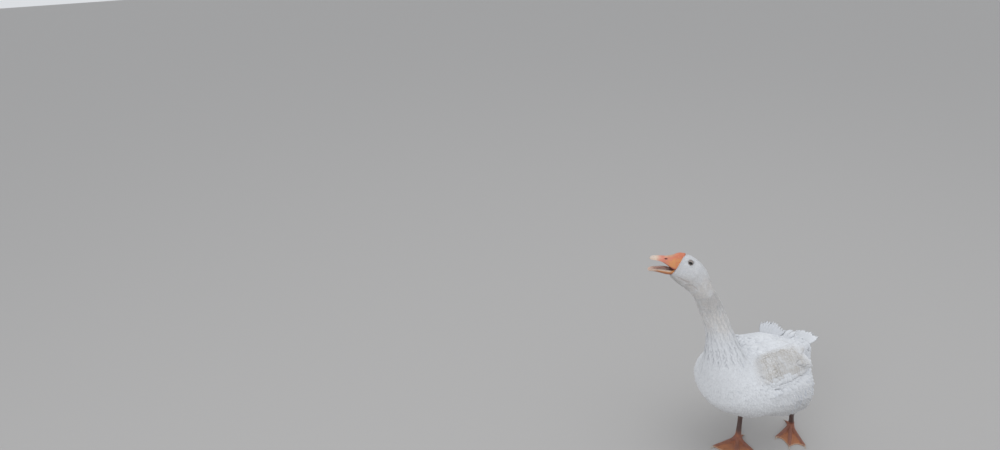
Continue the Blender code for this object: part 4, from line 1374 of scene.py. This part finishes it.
# %% Tongue and lining
TONGUE_SPAN, TONGUE_BREADTH, TONGUE_DEPTH = (0.24, 0.80), 0.0062, 0.0030
TONGUE_ABOVE = 0.0022                    # how high it lies over the line of the lower bill
TONGUE_RINGS, TONGUE_SIDES, TONGUE_TEETH = 60, 40, 16
LINING_SIDES, LINING_BREADTH, LINING_ROOM = 40, 0.0128, 0.0030
LINING_SCALE = 0.009 / 0.013             # the cup's rim is drawn back to 9 mm
LINING_RINGS = (                         # reach and width, over the rim and back down into the cup
    (-0.005, 0.9), (0.0, 1.0), (0.004, 1.0), (0.008, 1.0), (0.011, 1.0), (0.013, 0.97),
    (0.012, 0.86), (0.009, 0.72), (0.005, 0.56), (0.001, 0.36), (-0.001, 0.12),
)
TONGUE_PINK, TONGUE_EDGE = (0.64, 0.42, 0.34), (0.46, 0.24, 0.19)
LINING_RED, LINING_DEEP_SHADE = (0.11, 0.026, 0.022), (0.03, 0.008, 0.008)


def tongue_mesh():
    part, turn = np.linspace(0, 1, TONGUE_RINGS)[:, None], circle(TONGUE_SIDES)[None, :]
    share = TONGUE_SPAN[0] + (TONGUE_SPAN[1] - TONGUE_SPAN[0]) * part
    swell = np.maximum(0.10, np.sin(np.pi * (0.12 + 0.86 * part)) ** 0.5)
    teeth = 0.05 * np.cos(2 * np.pi * TONGUE_TEETH * part) * np.abs(np.sin(turn)) ** 6
    across = TONGUE_BREADTH * swell * np.sin(turn) * (1 + teeth)
    groove = 0.0005 * np.exp(-(np.sin(turn) / 0.22) ** 2) * (np.cos(turn) > 0)
    height = TONGUE_ABOVE + TONGUE_DEPTH * swell * (0.5 + 0.5 * np.cos(turn)) - groove
    spots = spots_of(across, -share * LOWER_LENGTH, height)
    mesh = tube_mesh(opened(spots, LOWER_DROP), TONGUE_RINGS)
    return placed_in_head(keep_values(mesh, across.shape, along=share, around=np.abs(np.sin(turn))))


def lining_mesh():
    reach, wide = (column[:, None] for column in np.array(LINING_RINGS).T)
    turn, ahead = circle(LINING_SIDES)[None, :], np.maximum(reach, 0.0)
    top = ahead * math.tan(math.radians(UPPER_LIFT)) + LINING_ROOM
    low = -ahead * math.tan(math.radians(LOWER_DROP)) - LINING_ROOM
    height = GAPE[1] + (top + low) / 2 + (top - low) / 2 * wide * np.cos(turn)
    across = LINING_BREADTH * wide * np.sin(turn)
    mesh = tube_mesh(spots_of(across, GAPE[0] - reach * LINING_SCALE, height), len(LINING_RINGS))
    return placed_in_head(keep_values(mesh, across.shape, deep=1 - wide))


def flesh_finish(name, tint, dark, attribute):
    finish = Finish(name, 0.35, Specular_IOR_Level=0.5)
    finish.ground(finish.number(attribute).ramp(0.1, 0.9), tint, dark)
    finish.cover(finish.noise(finish.place(), 300.0, 3.0).ramp(0.45, 0.7) * 0.5, dark)
    finish.bump(finish.noise(finish.place(), 900.0, 2.0), 0.0003)
    return finish.done()


show("tongue_flesh", tongue_mesh(), flesh_finish("tongue_skin", TONGUE_PINK, TONGUE_EDGE, "around"),
     ["tongue"])
# the lining is its own dark red, with painted shade deeper in the cup and in mottled spots
show("mouth_lining", lining_mesh(), flesh_finish("lining_skin", LINING_RED, LINING_DEEP_SHADE, "deep"))

# %% [markdown]
# ## Eyes and lids
# The eyeball sits in the head and only its cap shows. A goose's lid is a bare ring, almond shaped,
# with its front corner raised. Each lid is a closed band: its inner edge lies on the eyeball and
# its outer edge sinks into the skin, whose height is looked up all round.

# %% Eyeballs
EYE_RADIUS = 0.0070
EYE_TILT = math.radians(22)              # how far the front corner is raised
EYE_WAY = (-0.22, 0.10)                  # how far the eye looks ahead and up
EYE_RINGS, EYE_SIDES = 36, 48
CORNEA = 0.045                           # how far the clear front stands out, in radii


def eye_frame(sign):
    """X to the back corner of the eye, Y up, Z out of the head, in the head's frame."""
    out = Vector((sign, *EYE_WAY)).normalized()
    back = Vector((0, math.cos(EYE_TILT), -math.sin(EYE_TILT)))
    back = (back - out * back.dot(out)).normalized()
    up = out.cross(back) * sign
    middle = eye_middles["left" if sign > 0 else "right"]
    return Matrix.Translation(middle) @ (head_turn @ Matrix((back, up, out)).transposed()).to_4x4()


def eyeball_mesh(sign):
    polar, turn = np.linspace(0.02, np.pi - 0.02, EYE_RINGS)[:, None], circle(EYE_SIDES)[None, :]
    radius = EYE_RADIUS * (1 + CORNEA * ramp(np.degrees(polar), 36, 10))
    away = radius * np.sin(polar)
    mesh = tube_mesh(spots_of(away * np.cos(turn), away * np.sin(turn), radius * np.cos(polar)),
                     EYE_RINGS)
    keep_values(mesh, (EYE_RINGS, EYE_SIDES), polar=np.degrees(polar) / 90)
    mesh.transform(eye_frame(sign))
    return outward(mesh)


def eye_finish():
    finish = Finish("wet_eye", 0.10, Coat_Weight=0.25, Coat_Roughness=0.03, Specular_IOR_Level=0.35)
    polar = finish.number("polar")
    rays = finish.streaks((900.0, 900.0, 900.0), 3.0)
    iris = finish.mix(rays, (0.055, 0.036, 0.026), (0.020, 0.013, 0.010))
    finish.ground(polar.ramp(0.30, 0.34), (0.003, 0.003, 0.003), iris)
    finish.cover(polar.ramp(0.60, 0.68), (0.012, 0.009, 0.008))
    return finish.done(0.05 + rays * 0.04)


# %% Lids
OPENING = (0.00470, 0.00335)             # half the length and half the height of the opening
LID_BREADTH = 0.0020
LID_REACH = 0.0071                       # how far the lid covers the eyeball, from the eye's middle
LID_CLEAR = 0.0003                       # how far it stays off the eyeball
LID_SPOTS = 72                           # round the eye
LID_SHARES = (0, 0.2, 0.4, 0.6, 0.8, 1, 0.65, 0.4, 0.15)     # across its top, and back beneath
LID_TOP = 6                              # how many of them are on its top
LID_THICK = 0.0008


def lid_mesh(sign):
    to_world = eye_frame(sign)
    inside = to_world.inverted()
    out = to_world.to_3x3() @ Vector((0, 0, 1))
    points = []
    for turn in circle(LID_SPOTS):
        pinch = 1 + 0.10 * abs(math.cos(turn)) ** 6
        u, v = OPENING[0] * math.cos(turn) * pinch, OPENING[1] * math.sin(turn)
        reach = math.hypot(u, v)
        rim = math.sqrt((EYE_RADIUS + 0.0001) ** 2 - reach ** 2)
        widest = max(reach + LID_BREADTH, LID_REACH) / reach
        hit = skin_tree.ray_cast(to_world @ Vector((u * widest, v * widest, 0.03)), -out, 0.05)[0]
        far = (inside @ hit).z - 0.0005 if hit else rim - 0.002
        for j, share in enumerate(LID_SHARES):
            k = 1 + (widest - 1) * share
            level = rim + (far - rim) * share
            if j < LID_TOP:
                ball = math.sqrt(max(0.0, EYE_RADIUS ** 2 - (reach * k) ** 2))
                wrinkle = 0.00010 * math.sin(turn * 26 + share * 9)
                level = max(level, ball + LID_CLEAR) + wrinkle
                level += 0.0006 * math.exp(-((share - 0.10) / 0.14) ** 2)
            else:
                level -= LID_THICK
            points.append(to_world @ Vector((u * k, v * k, level)))
    profile = len(LID_SHARES)
    faces = [(i * profile + j, i * profile + (j + 1) % profile,
              (i + 1) % LID_SPOTS * profile + (j + 1) % profile, (i + 1) % LID_SPOTS * profile + j)
             for i in range(LID_SPOTS) for j in range(profile)]
    mesh = bpy.data.meshes.new("lid")
    mesh.from_pydata(points, [], faces)
    return outward(mesh)


def lid_finish():
    finish = Finish("lid_skin", 0.55)
    beads = finish.noise(finish.place(), 900.0, 1.0)
    patches = finish.noise(finish.place(), 260.0, 2.0)
    finish.ground(patches, (0.22, 0.185, 0.17), (0.38, 0.34, 0.315))
    finish.cover(beads.ramp(0.5, 0.7) * 0.3, (0.16, 0.13, 0.12))
    finish.bump(beads, 0.0003)
    return finish.done()


wet_eye, lid_skin = eye_finish(), lid_finish()
for side, sign in (("left", 1), ("right", -1)):
    show(f"eyeball_{side}", eyeball_mesh(sign), wet_eye, [f"eye_{side}"])
    show(f"lid_{side}", lid_mesh(sign), lid_skin)

# %% [markdown]
# ## Legs
# Foot, hind toe and shank of one side melt into one skin, as the body did, in finer voxels. Then
# the shank and the tops of the toes get their rows of broad scutes, as small ridges of the surface,
# and the web gets fine folds that run out from the heel. The claws stay separate horn.

# %% Feet melted into one skin
LEG_VOXEL, LEG_PUFF = 0.0009, 0.0004
LEG_MELT = (0.5, -0.35) * 3
SOLE = 0.0012                            # what lies lower than this stays flat on the floor
LEGS = {                                 # heel, turn of the middle toe, spread, top of the shank
    "right": ((-0.0150, 0.0522), 44, 47, (-0.046, 0.0812, 0.088)),
    "left": ((0.016, 0.2272), 42, 28, (0.042, 0.1852, 0.088)),
}
HEEL_HEIGHT = 0.012
ROD_SIDES, ROD_RINGS, ROD_RADII = 16, 4, (0.0060, 0.0066)
ROD_UNDER, ROD_OVER = 0.012, 0.022       # how far it reaches below and above the shank's top


def rod_mesh(first, last):
    """A plain closed rod between two points, to carry the shank on into the thigh."""
    turned = (last - first).to_track_quat("Z", "Y").to_matrix()
    points = []
    for part in np.arange(ROD_RINGS) / (ROD_RINGS - 1):
        radius = ROD_RADII[0] + (ROD_RADII[1] - ROD_RADII[0]) * part
        for turn in circle(ROD_SIDES):
            ring = Vector((radius * math.cos(turn), radius * math.sin(turn), 0))
            points.append(first.lerp(last, part) + turned @ ring)
    return tube_mesh(np.array(points), ROD_RINGS)


def leg_nodes(side):
    return [f"foot_{side}", f"hind_toe_{side}", f"shank_{side}"]


def melted_leg(side):
    """One side's foot, hind toe and shank as one smooth object, flat below."""
    heel, _, _, ankle = LEGS[side]
    ankle = Vector(ankle)
    upward = (ankle - Vector((*heel, HEEL_HEIGHT))).normalized()
    rod = rod_mesh(ankle - Vector((0, 0, ROD_UNDER)), ankle + upward * ROD_OVER)
    leg = union_of(leg_nodes(side), f"leg_skin_{side}", LEG_PUFF, LEG_VOXEL, rod)
    points, _ = as_arrays(leg.data)
    edges = read(leg.data.edges, "vertices", 2, np.int64)
    for pull in LEG_MELT:
        points = smoothed(points, edges, pull)
    flat = points[:, 2] < SOLE
    points[flat, 2] = np.maximum(0.0, points[flat, 2])
    moved(leg.data, points)
    mesh = leg.data
    bpy.data.objects.remove(leg)
    return mesh


# %% Scutes and webs
SCUTE = 0.0034                           # from one scute to the next
TOE_LENGTHS = (0.074, 0.092, 0.085)      # inner, middle, outer
TOE_BREADTH = 0.0056
WEB_SCALLOP, WEB_FOLDS = 0.013, 46
GROOVE_DEPTH, FOLD_HEIGHT, TOE_RISE = 0.00045, 0.00016, 0.0003


def toe_edge(side, degrees):
    """How far the foot reaches at each angle from its middle toe."""
    spread = LEGS[side][2]
    inward = 1 if side == "right" else -1
    toes = sorted(zip((inward * spread, 0.0, -inward * spread), TOE_LENGTHS))
    reach = np.interp(degrees, [toe[0] for toe in toes], [toe[1] for toe in toes])
    part = np.mod(np.clip(degrees, -spread, spread), spread) / spread
    return reach - WEB_SCALLOP * np.sin(np.pi * part) ** 0.8


def ridged(along, spacing, flank):
    """1 in the grooves between scutes, which cross the way along."""
    return ramp(np.abs(np.sin(np.pi * along / spacing)), flank, 0.0)


def leg_skin(side):
    heel, turn, spread, _ = LEGS[side]
    mesh = melted_leg(side)
    points, normals = as_arrays(mesh)
    height, away = points[:, 2], points[:, :2] - heel
    reach = np.linalg.norm(away, axis=1)
    degrees = np.degrees(np.arctan2(away[:, 0], -away[:, 1])) - turn
    degrees = (degrees + 180) % 360 - 180

    groove, on_toe = np.zeros(len(points)), np.zeros(len(points))
    low = ramp(height, 0.020, 0.012) * ramp(height, 0.0022, 0.0034)
    for toe in (-spread, 0, spread):
        bend = np.radians(degrees - toe)
        along, off = reach * np.cos(bend), np.abs(reach * np.sin(bend))
        mask = ramp(off, TOE_BREADTH * 1.05, TOE_BREADTH * 0.7) * ramp(along, 0.004, 0.012) * low
        groove = np.maximum(groove, mask * ridged(along, SCUTE, 0.45))
        on_toe = np.maximum(on_toe, mask)
    ahead = np.array(turn_by(turn, "Z") @ Vector((0, -1, 0)))
    shin = ramp(height, 0.018, 0.026) * ramp(normals @ ahead, -0.1, 0.3)
    rows = height + 0.0012 * np.cos(3 * np.arctan2(normals[:, 1], normals[:, 0]))
    groove = np.maximum(groove, shin * ridged(rows, SCUTE * 1.1, 0.40))

    web = ramp(height, 0.0042, 0.0030) * ramp(height, 0.0008, 0.0016)
    web *= ramp(np.abs(degrees), spread + 2, spread - 2)
    folds = np.cos(np.radians(degrees) * WEB_FOLDS + 2.2 * np.sin(reach * 160))
    folds = folds * ramp(reach, 0.015, 0.035)
    rim = ramp(np.abs(reach - toe_edge(side, degrees)), 0.0028, 0.0010)
    rim = rim * ramp(height, 0.0006, 0.0018)
    rise = -GROOVE_DEPTH * groove + FOLD_HEIGHT * folds * web + TOE_RISE * on_toe
    rise *= ramp(height, 0.0006, 0.0016)
    points = points + normals * rise[:, None]
    points[:, 2] = np.maximum(0.0, points[:, 2])
    moved(mesh, points)
    store_numbers(mesh, groove=groove, web=web, rim=rim, toe=on_toe, reach=reach)
    return mesh


# %% Finish of the legs
WEB_LIT_ORANGE, FOOT_ORANGE = (0.50, 0.20, 0.085), (0.42, 0.155, 0.075)
FOOT_BROWN = (0.30, 0.120, 0.085)
TOE_SHADE_BROWN, RIM_PALE, SHANK_GRIME_AND_SHADE = (0.33, 0.145, 0.105), (0.66, 0.47, 0.34), (0.085, 0.062, 0.060)
SHANK_PATCH, GROOVE_DARK, GRIME = (0.26, 0.13, 0.10), (0.10, 0.045, 0.035), (0.17, 0.10, 0.08)


def leg_finish():
    finish = Finish("scaly_skin", 0.5, Specular_IOR_Level=0.4)
    spot = finish.place()
    z = finish.parts(spot)[2]
    blotch, fine = finish.noise(spot, 70.0, 3.0), finish.noise(spot, 520.0, 2.0)
    cells = finish.node("ShaderNodeTexVoronoi", {"feature": "DISTANCE_TO_EDGE"},
                        {"Vector": spot, "Scale": 620.0})
    cells = Value(finish, cells.outputs["Distance"])
    finish.ground(blotch.ramp(0.30, 0.70), FOOT_ORANGE, FOOT_BROWN)
    # painted light: the front of each web is a brighter orange
    finish.cover(finish.number("web") * finish.number("reach").ramp(0.02, 0.06) * 0.7, WEB_LIT_ORANGE)
    # painted shade: the toes are browner
    finish.cover(finish.number("toe") * 0.55, TOE_SHADE_BROWN)
    finish.cover(finish.number("rim") * 0.6, RIM_PALE)
    # the shank is dark: grime, and painted shade under the body
    finish.cover(z.ramp(0.014, 0.034) * 0.9, SHANK_GRIME_AND_SHADE)
    finish.cover(z.ramp(0.030, 0.060) * blotch.ramp(0.5, 0.7) * 0.4, SHANK_PATCH)
    finish.cover(finish.number("groove") * 0.55, GROOVE_DARK)
    finish.cover(fine.ramp(0.5, 0.72) * 0.25, GRIME)
    finish.bump(cells.ramp(0.0, 0.10) * 0.7 + fine * 0.3, 0.0004)
    return finish.done(0.42 + blotch * 0.22)


scaly_skin = leg_finish()
for side in LEGS:
    show(f"leg_skin_{side}", leg_skin(side), scaly_skin, leg_nodes(side))

# %% [markdown]
# ## Claws
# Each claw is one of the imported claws, subdivided until it is round. Its horn is streaked in darker
# and paler brown.

# %% Claws
CLAWS = [name for name in sorted(nodes) if "claw" in name]
CLAW_LEVELS = 3


def claws_mesh():
    """The claws' copies, joined and subdivided, as one mesh."""
    work = bmesh.new()
    for node in CLAWS:
        work.from_mesh(merged_copy(node))
    made = linked("claws_at_work", mesh_of(work, "claws_at_work"))
    softer = made.modifiers.new("softer", "SUBSURF")
    softer.levels = softer.render_levels = CLAW_LEVELS
    mesh = bake_down(made).data
    bpy.data.objects.remove(made)
    points, _ = as_arrays(mesh)
    points[:, 2] = np.maximum(0.0, points[:, 2])
    moved(mesh, points)
    return outward(mesh)


def claw_finish():
    finish = Finish("claw", 0.35)
    grain = finish.streaks((700.0, 700.0, 250.0), 2.0)
    finish.ground(grain, (0.34, 0.26, 0.20), (0.66, 0.58, 0.49))
    finish.bump(grain, 0.0003)
    return finish.done(0.30 + grain * 0.15)


show("claws", claws_mesh(), claw_finish(), CLAWS)
